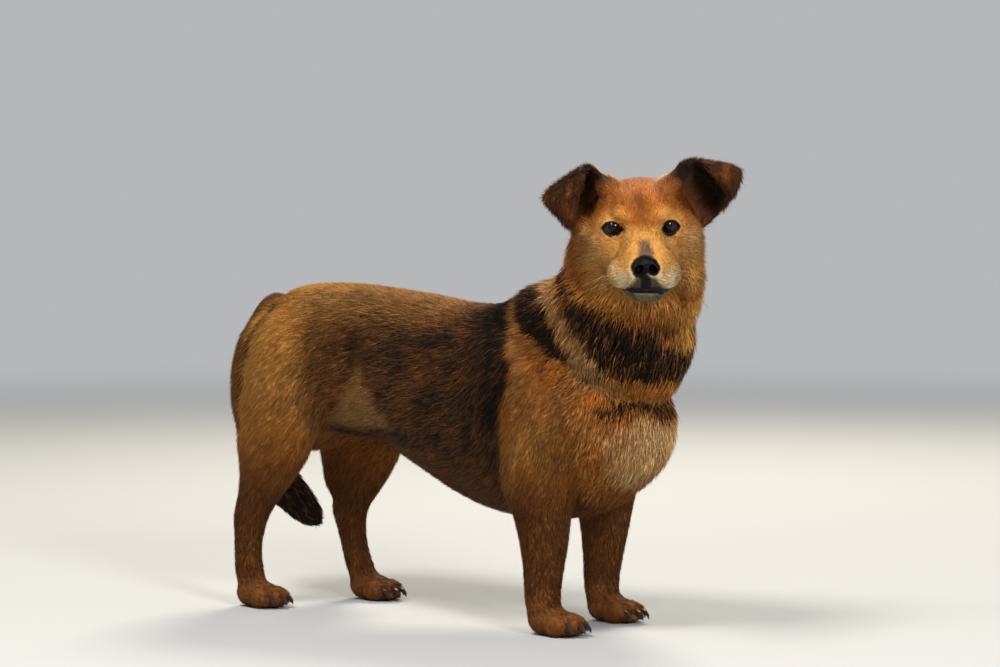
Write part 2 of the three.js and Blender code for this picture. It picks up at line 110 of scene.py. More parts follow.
def unit(vectors):
    return vectors / np.maximum(np.linalg.norm(vectors, axis=-1, keepdims=True), 1e-9)


def stretches(points, path):
    # the stretches of a bent line: number, run, and each point's share along it and distance from it
    path = np.asarray(path, float)
    for k, (start, run) in enumerate(zip(path, np.diff(path, axis=0))):
        share = np.clip((points - start) @ run / (run @ run), 0, 1)
        yield k, run, share, np.linalg.norm(points - start - share[:, None] * run, axis=1)


def capsule(points, path):
    # distance from a bent line
    return np.minimum.reduce([away for *_, away in stretches(points, path)])


def egg(points, at, size):
    # about the distance from an ellipsoid
    scaled = (points - np.array(at)) / np.array(size)
    reach = np.linalg.norm(scaled, axis=1)
    return (reach - 1) * reach / np.maximum(np.linalg.norm(scaled / np.array(size), axis=1), 1e-6)


def blendMin(a, b, k):
    h = np.clip(0.5 + 0.5 * (b - a) / k, 0, 1)
    return b * (1 - h) + a * h - k * h * (1 - h)


def blendMax(a, b, k):
    return -blendMin(-a, -b, k)


def gridPoints(axes):
    # every place where the planes across the axes meet
    return np.stack(np.meshgrid(*axes, indexing="ij"), -1)


class Field:
    # one number, or a few, on a regular grid, read between its points
    def __init__(self, values, origin, step):
        self.values, self.origin, self.step = values, np.asarray(origin, float), step

    def at(self, points):
        shape = np.array(self.values.shape[:3])
        place = np.clip((points - self.origin) / self.step, 0, shape - 1.001)
        low = place.astype(np.int64)
        part = (place - low).astype(np.float32)
        ends = (1 - part, part)
        flat = self.values.reshape(shape.prod(), -1)
        first = (low[:, 0] * shape[1] + low[:, 1]) * shape[2] + low[:, 2]
        total = np.zeros((len(points), flat.shape[1]), np.float32)
        for dx, dy, dz in itertools.product((0, 1), repeat=3):
            share = ends[dx][:, 0] * ends[dy][:, 1] * ends[dz][:, 2]
            total += flat.take(first + (dx * shape[1] + dy) * shape[2] + dz, 0) * share[:, None]
        return total[:, 0] if self.values.ndim == 3 else total

    def along(self, axes):
        # read on a grid of uneven planes, one axis after the other
        out = self.values
        for axis, places in enumerate(axes):
            at = np.clip((places - self.origin[axis]) / self.step, 0, out.shape[axis] - 1.001)
            low = at.astype(int)
            part = (at - low).astype(np.float32).reshape([-1 if k == axis else 1 for k in range(3)])
            out = np.take(out, low, axis) * (1 - part) + np.take(out, low + 1, axis) * part
        return out


def slopeOf(distance, points, reach):
    steps = np.eye(3) * reach
    return unit(np.stack([distance(points + step) - distance(points - step) for step in steps], 1))


def numbersOf(items, key, width, kind=float):
    # one property of a mesh's corners, faces or loops, a row for each
    flat = np.empty(len(items) * width, kind)
    items.foreach_get(key, flat)
    return flat.reshape(-1, width)


def joined(names):
    # the corners and triangles of several nodes as one
    points, corners, count = [], [], 0
    for name in names:
        mesh = nodes[name].data
        mesh.calc_loop_triangles()
        points.append(numbersOf(mesh.vertices, "co", 3, np.float32))
        corners.append(numbersOf(mesh.loop_triangles, "vertices", 3, np.int32) + count)
        count += len(mesh.vertices)
    return np.concatenate(points), np.concatenate(corners)


def fieldOf(points, step, band, triangles=None, quads=None, box=None):
    # distance from a closed surface, right within a band on both sides of it
    shape = openvdb.createLinearTransform(voxelSize=step)
    parts = {"triangles": triangles, "quads": quads}
    parts = {kind: part for kind, part in parts.items() if part is not None and len(part)}
    width = band / step
    grid = openvdb.FloatGrid.createLevelSetFromPolygons(points, transform=shape, halfWidth=width, **parts)
    low, high = box if box is not None else (points.min(0) - band, points.max(0) + band)
    first = np.floor(np.array(low) / step).astype(int)
    count = np.ceil(np.array(high) / step).astype(int) - first + 1
    values = np.empty(count, np.float32)
    grid.copyToArray(values, ijk=tuple(int(i) for i in first))
    return Field(values, first * step, step)


sides = ("right", "left")
legs = [f"{end}leg_{side}" for end in ("fore", "hind") for side in sides]
limbs = {
    "upperArm": "foreleg_{}_upper_arm", "forearm": "foreleg_{}_forearm", "forePaw": "foreleg_{}_paw",
    "thigh": "hindleg_{}_thigh", "shank": "hindleg_{}_shank", "hindPaw": "hindleg_{}_paw",
}
fleshGroups = {
    "head": ["head", "nose", "eye_right", "eye_left"],
    "jaw": ["lower_jaw"],
    "ear": ["ear_right", "ear_left"],
    "neck": ["neck"],
    "trunk": ["trunk"],
    "tail": ["tail"],
    **{group: [node.format(side) for side in sides] for group, node in limbs.items()},
}
groupNames = list(fleshGroups)
# steps and bands of the fields in metres, and how far they are softened, in steps
body = {
    "step": 0.0024, "earStep": 0.001, "band": 0.028, "margin": 0.03, "closesGaps": 0.0006,
    "blur": 2, "limbBlur": 1,
}
groupFields = {}
for group, names in fleshGroups.items():
    points, corners = joined(names)
    step = body["earStep"] if group == "ear" else body["step"]
    groupFields[group] = fieldOf(points, step, body["band"], triangles=corners)

# the body as one mass: all groups but the ears, with the thin cuts closed
lowCorner = np.floor((np.array(cadBox[0]) - body["margin"]) / body["step"]) * body["step"]
highCorner = np.array(cadBox[1]) + body["margin"]
size = np.ceil((highCorner - lowCorner) / body["step"]).astype(int) + 1
mass = np.full(size, body["band"], np.float32)
for group, field in groupFields.items():
    if group != "ear":
        first = np.rint((field.origin - lowCorner) / body["step"]).astype(int)
        start, stop = np.maximum(first, 0), np.minimum(first + field.values.shape, size)
        here = tuple(slice(a, b) for a, b in zip(start, stop))
        there = tuple(slice(a, b) for a, b in zip(start - first, stop - first))
        mass[here] = np.minimum(mass[here], field.values[there] - body["closesGaps"])


def surfaceOf(values):
    grid = openvdb.FloatGrid(float(values.max()))
    grid.copyFromArray(np.ascontiguousarray(values, np.float32))
    return grid.convertToPolygons(isovalue=0.0, adaptivity=0.0)


def soften(values, reach):
    # three box averages on each axis are nearly a Gaussian
    width = 2 * reach + 1
    for axis in range(3):
        for _ in range(3):
            ends = [(reach + 1, reach) if k == axis else (0, 0) for k in range(3)]
            sums = np.cumsum(np.pad(values, ends, mode="edge"), axis=axis, dtype=np.float32)
            count = sums.shape[axis]
            values = np.take(sums, range(width, count), axis) - np.take(sums, range(count - width), axis)
            values = values / width
    return values


places, triangles, quads = surfaceOf(mass)
places = (places * body["step"] + lowCorner).astype(np.float32)
mass = fieldOf(places, body["step"], body["band"], triangles, quads, (lowCorner, highCorner)).values

# grooves and, where the depth is negative, swellings, in millimetres: path seen from the side, width, depth
folds = [
    ([(68, 136), (82, 171), (83, 202), (90, 239), (96, 274)], 9, 5.5),
    ([(137, 320), (147, 296), (160, 274), (180, 261), (201, 251), (222, 241)], 9, 7.0),
    ([(168, 362), (192, 344), (221, 331), (250, 323)], 9, 6.0),
    ([(-258, 348), (-252, 322), (-256, 291), (-262, 258), (-266, 225), (-268, 197)], 9, 9),
    ([(199, 240), (192, 215), (184, 184), (173, 151)], 10, 6.0),
    ([(-186, 186), (-168, 207), (-147, 233), (-131, 261), (-122, 285)], 11, 6.0),
    ([(137, 222), (118, 190)], 24, -4.5),
    ([(100, 152), (108, 166)], 12, -4.0),
    ([(168, 342), (193, 318), (216, 300), (238, 284)], 14, -3.0),
    ([(-208, 280), (-212, 235)], 30, -2.0),
]
# flesh between the thighs, and hair behind the far thigh, in millimetres: path and radius
fillers = [
    ([(-236, 28, 186), (-200, 28, 192)], 19),
    ([(-246, 88, 168), (-240, 88, 132)], 17),
]
formReach = {"filler": 0.05, "ruff": 0.06, "face": 0.07}  # metres each way
sideAxes = [lowCorner[k] + np.arange(size[k]) * body["step"] for k in (0, 2)]
sidePoints = gridPoints(sideAxes).reshape(-1, 2)
report("body closed")

foldSum = 0
for way, wide, deep in folds:
    away = capsule(sidePoints, np.array(way) / 1000)
    foldSum = foldSum + deep * np.exp(-((away / (wide / 1000)) ** 2))
mass += foldSum.reshape(size[0], 1, size[2]).astype(np.float32) / 1000


def massNear(low, high):
    # the part of the mass between two corners, as slices, and its places in metres
    ends = np.clip(np.rint((np.array((low, high)) - lowCorner) / body["step"]), 0, size).astype(int)
    lines = [corner + np.arange(*pair) * body["step"] for corner, pair in zip(lowCorner, ends.T)]
    return tuple(slice(*pair) for pair in ends.T), gridPoints(lines)


def addMass(low, high, distance, soft):
    # joins a form, in metres, to the body between two corners
    here, near = massNear(low, high)
    form = distance(near.reshape(-1, 3)).reshape(near.shape[:3])
    mass[here] = blendMin(mass[here], form, soft)


for way, radius in fillers:
    way = np.array(way) / 1000
    low, high = way.min(0) - formReach["filler"], way.max(0) + formReach["filler"]
    addMass(low, high, lambda points: capsule(points, way) - radius / 1000, 0.014)
# whisker pads, brows, hair at the ears' bases, under the right ear and on the cheeks: middle and radii
ruffs = [
    ((42, -23.5, -33), (22, 15, 14.5)),
    ((42, 20.5, -33), (22, 14, 14.5)),
    ((1, -21.5, 17.5), (10, 11, 6.5)),
    ((1, 22.5, 17.5), (10, 11, 6.5)),
    ((-35, -30, 35), (17, 13, 10.5)),
    ((-35, 32, 35), (17, 13, 10.5)),
    ((-38, -58, -9), (17, 12, 17)),
    ((-22, 52, -20), (18, 13, 26)),
    ((-22, 53, -62), (20, 15, 26)),
]
# hollows of the face, in the head's millimetres: path, radius and depth
hollows = [
    ([(10, 16, -5), (24, 20, -15), (33, 27, -30), (24, 37, -46)], 7, 3.2),
    ([(-8, 0, 34), (10, 0, 20), (22, 0, 9)], 6, 2.0),
    ([(-2, 44, -6), (-6, 50, -24)], 9, 2.5),
]
for at, extent in ruffs:
    reach = np.array(fromHead(at))
    joint = 0.009 + 0.0006 * max(extent[2] - 15, 0)
    low, high = reach - formReach["ruff"], reach + formReach["ruff"]
    addMass(low, high, lambda points: egg(toHead(points), at, extent) / 1000, joint)
here, near = massNear(headAt - formReach["face"], headAt + formReach["face"])
mirrored = toHead(near.reshape(-1, 3))
mirrored[:, 1] = np.abs(mirrored[:, 1])
for way, wide, deep in hollows:
    mass[here] += (deep / 1000 * np.exp(-((capsule(mirrored, way) / wide) ** 2))).reshape(near.shape[:3])

# region shares and the coat's depth on a coarse grid
coarse = 0.006
regionBlend = 0.008
coarseAxes = [np.arange(low, high + coarse, coarse) for low, high in zip(lowCorner, highCorner)]
coarsePoints = gridPoints(coarseAxes)
coarseShape = coarsePoints.shape[:3]
coarsePoints = coarsePoints.reshape(-1, 3)
apart = np.stack([field.along(coarseAxes) for field in groupFields.values()], -1)
near = np.exp(-(apart - apart.min(-1, keepdims=True)) / regionBlend)
shareField = Field(near / near.sum(-1, keepdims=True), lowCorner, coarse)


def shareOf(shares, *names):
    return shares[..., [groupNames.index(name) for name in names]].sum(-1)


# coat by region: depth over the skin, length, width and spacing in millimetres, and lift in degrees
coatKinds = ("depth", "length", "width", "spacing", "lift")
coatBy = {
    "head": (2.0, 7.5, 0.72, 1.02, 13),
    "jaw": (1.8, 6.5, 0.75, 1.1, 13),
    "ear": (0.5, 7, 0.85, 1.05, 8),
    "neck": (7, 23, 1.25, 1.75, 19),
    "trunk": (2.6, 13, 0.95, 1.38, 12),
    "tail": (4.5, 17, 1.2, 1.75, 12),
    "upperArm": (2.8, 14, 1.05, 1.55, 12),
    "forearm": (1.6, 9.5, 0.95, 1.45, 10),
    "forePaw": (0.9, 6, 0.8, 1.35, 9),
    "thigh": (2.4, 13, 0.95, 1.4, 12),
    "shank": (1.6, 10, 1.0, 1.45, 10),
    "hindPaw": (0.9, 6, 0.8, 1.35, 9),
}
# factors on the same five on the muzzle, on the cheeks, close to the eyes and on the chest
coatShift = {
    "muzzle": (0.5, 0.5, 0.8, 0.85, 0.9),
    "cheek": (3.0, 2.1, 1.4, 1.35, 1.35),
    "eye": (0.3, 0.3, 0.8, 0.85, 0.8),
    "chest": (2.2, 1.5, 1.2, 1.15, 1.5),
}


def fromEye(local):
    # from the middle of the nearer eye to each place
    none = np.zeros(len(local))
    return local - np.stack([none - eyes["behind"], np.sign(local[:, 1]) * eyes["aside"], none], 1)


def faceParts(points):
    # head-local places, the muzzle's share, the cheeks' share and the distance from the nearer eye
    local = toHead(points)
    x, y, z = local.T
    muzzle = ease(4, 30, x)
    cheek = ease(36, 52, np.abs(y) - 0.25 * (z + 30)) * (1 - muzzle) * ease(18, -12, z)
    cheek = np.maximum(cheek, ease(-40, -62, z) * ease(26, 0, x))
    return local, muzzle, cheek, np.linalg.norm(fromEye(local), axis=1)


def coatNumber(points, kind, shares=None):
    shares = shareField.at(points) if shares is None else shares
    column = coatKinds.index(kind)
    value = shares @ np.array([coatBy[group][column] for group in groupNames])
    onHead = shareOf(shares, "head", "jaw")
    _, muzzle, cheek, eye = faceParts(points)
    shift = {part: factors[column] for part, factors in coatShift.items()}
    scale = 1 + (shift["muzzle"] - 1) * muzzle + (shift["cheek"] - 1) * cheek
    scale = scale * (shift["eye"] + (1 - shift["eye"]) * ease(12, 26, eye))
    chest = shareOf(shares, "trunk") * ease(0.13, 0.19, points[:, 0])
    return value * (1 + onHead * (scale - 1)) * (1 + (shift["chest"] - 1) * chest)


shares = shareField.values.reshape(-1, len(groupNames))
depth = coatNumber(coarsePoints, "depth", shares) / 1000
earApart = apart[..., groupNames.index("ear")].ravel()
depth = depth * (0.12 + 0.88 * ease(0.002, 0.022, earApart))
depth = depth * ease(0.002, 0.012, coarsePoints[:, 2])


def coarseField(values):
    return Field(soften(values.reshape(coarseShape).astype(np.float32), 1), lowCorner, coarse)


shapeFields = {
    "depth": coarseField(depth),
    "limb": coarseField(shareOf(shares, "head", "jaw", "forearm", "shank", "tail")),
    "paw": coarseField(shareOf(shares, "forePaw", "hindPaw")),
    "smooth": Field(soften(mass, body["blur"]), lowCorner, body["step"]),
    "close": Field(soften(mass, body["limbBlur"]), lowCorner, body["step"]),
    "plain": Field(mass, lowCorner, body["step"]),
}


def massOf(read):
    # the body's mass less the coat's depth: softened on the trunk, closer on head and legs
    limb, paw = read(shapeFields["limb"]), read(shapeFields["paw"])
    value = read(shapeFields["smooth"]) * (1 - limb - paw)
    value = value + read(shapeFields["close"]) * limb + read(shapeFields["plain"]) * paw
    return value + read(shapeFields["depth"])


# the lids' opening: outward turn in radians; half width, heights, how pointed, rim and swell in millimetres
lids = {
    "turn": math.radians(8.5), "half": 10.7, "upper": 7.4, "lower": 6.4, "point": 2.3,
    "rim": 1.0, "mound": 12.5,
}
lipLine = np.array([
    (73.5, 0, -45), (69, 13, -46), (59, 22.5, -51.5), (46, 29, -52), (36, 32.5, -49.5), (27, 34, -47),
])
lipLine = np.concatenate([lipLine[:0:-1] * (1, -1, 1), lipLine])
mouth = {"groove": 1.7, "soft": 1.2}


def lidPlane(local, side):
    # across and up in the plane of one eye's opening, and forward out of it
    away = local - np.array((-eyes["behind"], side * eyes["aside"], 0))
    ahead = away @ (math.cos(lids["turn"]), side * math.sin(lids["turn"]), 0)
    across = away @ (-math.sin(lids["turn"]), side * math.cos(lids["turn"]), 0)
    return across, away[:, 2], ahead


def lidPoint(across, up, ahead, side):
    # the way back from the plane of the opening to the head
    x = ahead * math.cos(lids["turn"]) - across * math.sin(lids["turn"]) - eyes["behind"]
    y = side * (ahead * math.sin(lids["turn"]) + across * math.cos(lids["turn"]) + eyes["aside"])
    return np.stack([x, y, up], -1)


def lidShare(across):
    return np.minimum(np.abs(across) / lids["half"], 1.4)


def lidHeight(across, upper):
    # the almond's half height at a place across it
    return np.where(upper, lids["upper"], lids["lower"]) * (1 - lidShare(across) ** lids["point"])


def lidEdge(across, up):
    # about how far outside the almond opening a place is, negative inside
    lean = 1.6 * lidShare(across) ** (lids["point"] - 1)
    return (np.abs(up) - lidHeight(across, up > 0)) / np.sqrt(1 + lean**2)


nose = {"at": np.array((72, 0, -21.3)), "scale": 0.92}


def noseSized(local):
    return nose["at"] + (local - nose["at"]) / nose["scale"]


def noseBody(local):
    # the pad: wide above, narrower below, rounded in front
    local = noseSized(local)
    pad = egg(local, (71, 0, -20), (12.5, 14.4, 11.6))
    for side in (-1, 1):
        pad = blendMin(pad, egg(local, (76.3, side * 7.6, -21.5), (8.2, 6.6, 8.4)), 2)
    pad = blendMin(pad, egg(local, (72.5, 0, -28.5), (9, 8, 6)), 4)
    return blendMax(pad, local[:, 0] + 0.25 * np.abs(local[:, 2] + 21) - 85.4, 3)


def nosePits(local, slits=True):
    # the nostrils, with or without their slits
    local = noseSized(local)
    pits = np.full(len(local), 1e9)
    for side in (-1, 1):
        lean = local - np.array((84.5, side * 7.3, -21))
        lean = lean + np.stack([0 * lean[:, 0], side * 0.25 * lean[:, 2], 0 * lean[:, 0]], 1)
        pits = np.minimum(pits, egg(lean, (0, 0, 0), (8.5, 4.0, 5.2)))
        if slits:
            slit = [(83.5, side * 8.8, -24), (80, side * 12, -25.3), (76.5, side * 14.8, -25.8)]
            pits = blendMin(pits, capsule(local, slit) - 1.0, 1.5)
    return pits


toes = {"reach": 28, "knuckle": 7.2, "blend": 3, "crease": 2.6, "soft": 1.6}
toeForms = []
for leg in legs:
    horns = sorted((middleOf(f"{leg}_claw_{k}") * 1000 for k in (1, 2, 3, 4)), key=lambda at: at[1])
    toeForms += [("knuckle", [(x - 15, y, 15), (x - 8, y, 12)]) for x, y, z in horns]
    for a, b in zip(horns, horns[1:]):
        x, y = min(a[0], b[0]), (a[1] + b[1]) / 2
        toeForms.append(("crease", [(x - 1, y, 3), (x - 5, y, 16), (x - 13, y, 25), (x - 26, y, 31)]))


def headForm(local, face, ears):
    # ears and the swell of the eyes, in millimetres
    face = blendMin(face, ears - 0.2, 6)
    for side in (-1, 1):
        eyeAt = (-eyes["behind"], side * eyes["aside"], 0)
        face = blendMin(face, np.linalg.norm(local - eyeAt, axis=1) - lids["mound"], 3)
    return face


def headCuts(local, face):
    # the openings of eyes and nose and the mouth's groove
    for side in (-1, 1):
        across, up, ahead = lidPlane(local, side)
        face = blendMax(face, 0.4 - np.maximum(lidEdge(across, up), 2 - ahead), 0.5)
    face = np.maximum(face, -(noseBody(local) + 1.3))
    face = np.maximum(face, -(nosePits(local, slits=False) - 1.0))
    return blendMax(face, mouth["groove"] - capsule(local, lipLine), mouth["soft"])


def pawDetail(points, value):
    # knuckles, and creases between the toes, in millimetres
    for kind, path in toeForms:
        here = (np.abs(points - np.mean(path, 0)) < toes["reach"]).all(1)
        away = capsule(points[here], path)
        if kind == "knuckle":
            value[here] = blendMin(value[here], away - toes["knuckle"], toes["blend"])
        else:
            value[here] = blendMax(value[here], toes["crease"] - away, toes["soft"])
    return value


def skinAt(points, cuts=True):
    # metres out of the skin, with or without its openings
    value = massOf(lambda field: field.at(points)) * 1000
    local = toHead(points)
    onHead = (local[:, 0] > -130) & (np.abs(local) < 135).all(1)
    ears = groupFields["ear"].at(points[onHead]) * 1000
    value[onHead] = headForm(local[onHead], value[onHead], ears)
    if cuts:
        value[onHead] = headCuts(local[onHead], value[onHead])
    low = points[:, 2] < 0.045
    value[low] = pawDetail(points[low] * 1000, value[low])
    return value / 1000


# the skin's grid: fine planes round the head and at the feet, coarser ones elsewhere
grid = {
    "coarse": 0.0043, "fine": 0.0021, "feet": 0.0030, "rim": 0.012, "round": 0.004, "floor": 0.0008,
    "clip": 0.008,
}


def planes(low, high, fineSpans):
    at = [low]
    while at[-1] < high:
        at.append(at[-1] + next((s for a, b, s in fineSpans if a <= at[-1] < b), grid["coarse"]))
    return np.array(at)


headCorners = np.array([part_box(name) for name in ("head", "ear_right", "ear_left")])
headBox = np.stack([headCorners[:, 0].min(0) - grid["round"], headCorners[:, 1].max(0) + grid["round"]], 1)
spans = [[(*headBox[k], grid["fine"])] for k in range(3)]
spans[2].insert(0, (-1, 0.05, grid["feet"]))
axes = [planes(cadBox[0][k] - grid["rim"], cadBox[1][k] + grid["rim"], spans[k]) for k in range(3)]
skin = massOf(lambda field: field.along(axes))
block = tuple(slice(*np.searchsorted(axes[k], headBox[k])) for k in range(3))
blockAxes = [axes[k][block[k]] for k in range(3)]
around = gridPoints(blockAxes)
ears = groupFields["ear"].along(blockAxes).ravel() * 1000
local = toHead(around.reshape(-1, 3))
face = headCuts(local, headForm(local, skin[block].ravel() * 1000, ears))
skin[block] = (face / 1000).reshape(around.shape[:3])
below = axes[2] < 0
skin[:, :, below] = np.maximum(skin[:, :, below], grid["floor"] - axes[2][below])
report("skin field")


def meshFrom(name, points, faces):
    # faces is one array of triangles or quads
    mesh = bpy.data.meshes.new(name)
    mesh.vertices.add(len(points))
    mesh.vertices.foreach_set("co", np.asarray(points, np.float32).ravel())
    mesh.loops.add(faces.size)
    mesh.loops.foreach_set("vertex_index", np.asarray(faces, np.int32).ravel())
    mesh.polygons.add(len(faces))
    mesh.polygons.foreach_set("loop_start", np.arange(0, faces.size, faces.shape[1], dtype=np.int32))
    mesh.polygons.foreach_set("use_smooth", np.ones(len(faces), bool))
    mesh.update(calc_edges=True)
    ob = bpy.data.objects.new(name, mesh)
    scene.collection.objects.link(ob)
    return ob


def outward(points, quads):
    # the same faces, turned so that they look out
    a, b, c = (points[quads[:, k]] for k in range(3))
    return quads if np.einsum("ij,ij->i", a, np.cross(b, c)).sum() > 0 else quads[:, ::-1]


places, triangles, quads = surfaceOf(np.clip(skin, -grid["clip"], grid["clip"]))
places = np.stack([np.interp(places[:, k], np.arange(len(axes[k])), axes[k]) for k in range(3)], 1)
skinPiece = meshFrom("skin", places, outward(places, quads))


# how far from the lips and eyes, in millimetres, and up to what height in metres the skin is refined
fine = {"lips": 4, "eyes": 16, "toes": 0.033}


def fineParts(points):
    local, _, _, eye = faceParts(points)
    lips = (local[:, 0] > 20) & (capsule(local, lipLine) < fine["lips"])
    return (eye < fine["eyes"]) & (local[:, 0] > -8) | lips | (points[:, 2] < fine["toes"])


def remade(ob, change):
    # edits a piece's mesh by a function
    form = bmesh.new()
    form.from_mesh(ob.data)
    change(form)
    form.to_mesh(ob.data)
    form.free()


def refine(ob, picked):
    # halves the edges of the picked faces
    chosen = np.flatnonzero(picked(numbersOf(ob.data.polygons, "center", 3)))

    def halve(form):
        form.faces.ensure_lookup_table()
        edges = {edge for k in chosen for edge in form.faces[k].edges}
        bmesh.ops.subdivide_edges(form, edges=list(edges), cuts=1, use_grid_fill=True)
        for face in form.faces:
            face.smooth = True

    remade(ob, halve)


snapping = {"rounds": 4, "most": 0.0012, "reach": 0.0006, "share": 0.9}


def snap(ob, picked):
    # moves the picked corners onto the detailed skin
    points = numbersOf(ob.data.vertices, "co", 3)
    here = np.flatnonzero(picked(points))
    for _ in range(snapping["rounds"]):
        near = points[here]
        away = np.clip(skinAt(near), -snapping["most"], snapping["most"])[:, None]
        points[here] = near - snapping["share"] * (away * slopeOf(skinAt, near, snapping["reach"]))
    ob.data.vertices.foreach_set("co", points.ravel())
    ob.data.update()


refine(skinPiece, fineParts)
snap(skinPiece, fineParts)


def joinBody(ob, slot, *replaced):
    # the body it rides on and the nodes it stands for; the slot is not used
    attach(ob, "root")
    if replaced:
        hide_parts(*replaced)


flesh = [name for names in fleshGroups.values() for name in names if name[:3] not in ("eye", "nos")]
joinBody(skinPiece, "coat_rust", *flesh)
skinPiece.data.calc_loop_triangles()
skinPoints = numbersOf(skinPiece.data.vertices, "co", 3)
skinNormals = numbersOf(skinPiece.data.vertex_normals, "vector", 3)
skinFaces = numbersOf(skinPiece.data.loop_triangles, "vertices", 3, np.int32)
skinLoops = numbersOf(skinPiece.data.loop_triangles, "loops", 3, np.int32)
print("skin has", len(skinFaces), "triangles")
report("skin made")

# markings, the same for skin and coat
lattice = np.random.default_rng(5).uniform(-1, 1, (32, 32, 32)).astype(np.float32)


def mottle(points, size):
    # smooth noise from -1 to 1 with blobs of about this size in metres
    place = np.asarray(points) / size
    low = np.floor(place).astype(int)
    part = place - low
    part = part * part * (3 - 2 * part)
    total = 0
    for corner in itertools.product((0, 1), repeat=3):
        share = np.abs(1 - np.array(corner) - part).prod(1)
        total = total + share * lattice[tuple((low + corner).T % len(lattice))]
    return total


def onPath(points, rows):
    # 1 on a band round a path, fading out at its edge; a row is a place and the half width there
    rows = np.array(rows, float)
    best = np.zeros(len(points))
    for k, _, share, away in stretches(points, rows[:, :-1]):
        wide = rows[k, -1] + (rows[k + 1, -1] - rows[k, -1]) * share
        best = np.maximum(best, 1 - ease(0.75, 1.25, away / wide))
    return best


def pathShare(points, path):
    # how far along a path the nearest place is, 0 to 1, and the way the path runs there
    best, share, way = np.full(len(points), 1e9), np.zeros(len(points)), np.zeros((len(points), 3))
    for k, run, part, away in stretches(points, path):
        closer = away < best
        best = np.where(closer, away, best)
        share = np.where(closer, (k + part) / (len(path) - 1), share)
        way[closer] = unit(run)
    return share, way


middle = 0.0278  # the trunk's own middle plane
tailPath = (0, middle, 0) + np.array([
    (-262, 0, 340), (-280, 0, 333), (-300, 0, 300), (-308, 1, 252), (-308, 3, 204), (-300, 6, 162),
    (-277, 10, 126), (-248, 13, 101), (-224, 16, 84),
]) / 1000
# up the middle of each ear, over its fold and down the flap, in the head's millimetres
earPaths = {
    -1: [(-46, -43, 14), (-49, -60, 27), (-47, -74, 39), (-38, -74, 33), (-29, -74, 16), (-24, -72, -1)],
    1: [(-45, 46, 11), (-49, 64, 30), (-49, 75, 42), (-44, 82, 50), (-35, 86, 41), (-30, 90, 25)],
}


def blob(places, at, size):
    return np.exp(-(((places - at) / size) ** 2).sum(1))


# bands seen from the side, in millimetres: places along and up the body and the half widths there
bands = {
    "tan": [
        (112, 366, 10), (126, 349, 11), (151, 328, 11), (165, 309, 12), (175, 293, 15), (185, 273, 16),
        (200, 262, 9),
    ],
    "narrow": [(62, 346, 4.5), (77, 329, 6), (91, 307, 6.6), (99, 284, 6.6), (103, 262, 6), (104, 244, 3)],
    "collar": [
        (146, 368, 9), (156, 351, 10), (173, 331, 14), (194, 312, 19), (214, 297, 23), (232, 286, 22),
        (245, 281, 20),
    ],
    "wedge": [(78, 358, 16), (105, 334, 18), (127, 315, 15), (142, 301, 11), (155, 289, 6)],
    "behind": [(40, 340, 15), (62, 320, 15), (77, 293, 15), (78, 256, 14), (73, 215, 10)],
    "chestBand": [(188, 238, 3), (201, 234, 6), (216, 227, 8), (228, 226, 7)],
    # under the ruff: a painted shadow
    "underRuff": [(200, 330, 8), (224, 322, 10), (246, 316, 8)],
    # the rump beside the tail: the tail's brown spread wider, and the tail's painted shadow
    "tailEdge": [
        (-268, 345, 10), (-276, 318, 17), (-280, 290, 18), (-284, 258, 16), (-286, 225, 14), (-285, 190, 10),
    ],
    # the groove beside the tail, painted dark as shade
    "tailLine": [(-258, 345, 3), (-256, 320, 4.5), (-260, 291, 4.5), (-266, 258, 4), (-270, 225, 3)],
    "orange": [(114, 296, 11), (128, 278, 13)],
    "flankDark": [(-140, 290, 12), (-112, 284, 15), (-90, 266, 12), (-62, 228, 10)],
    "flankLine": [(-178, 200, 5), (-150, 198, 6), (-102, 203, 5), (-66, 203, 4)],
}
flankCorners = [(-176, 203), (-113, 266), (-66, 209)]


def triangleShare(flat, corners, soft):
    # 1 within a triangle, fading out over its edges
    inside = np.full(len(flat), 1e9)
    corners = np.array(corners) / 1000
    for a, b in zip(corners, np.roll(corners, -1, 0)):
        across = np.array((b[1] - a[1], a[0] - b[0])) / np.linalg.norm(b - a)
        inside = np.minimum(inside, (flat - a) @ across)
    return ease(-soft, soft, inside)


# regions of the body, in millimetres: where a marking starts and where it is full, on each axis
regions = {
    "belly": [("z", 210, 165), ("x", -170, -120), ("x", 110, 70)],
    "backTop": [("x", -240, -170), ("x", 40, -40), ("z", 300, 335)],
    # the back's top: its brown hair, painted lighter as a painted highlight of the light from behind
    "throat": [("x", 205, 235), ("z", 250, 280)],
    "shoulder": [("x", 50, 80), ("x", 190, 160), ("z", 300, 260)],
    "hip": [("x", -150, -230), ("z", 160, 260)],
    "lowLeg": [("z", 200, 110)],
}


def regionShare(points, rows):
    share = 1
    for axis, start, full in rows:
        share = share * ease(start / 1000, full / 1000, points[:, "xyz".index(axis)])
    return share


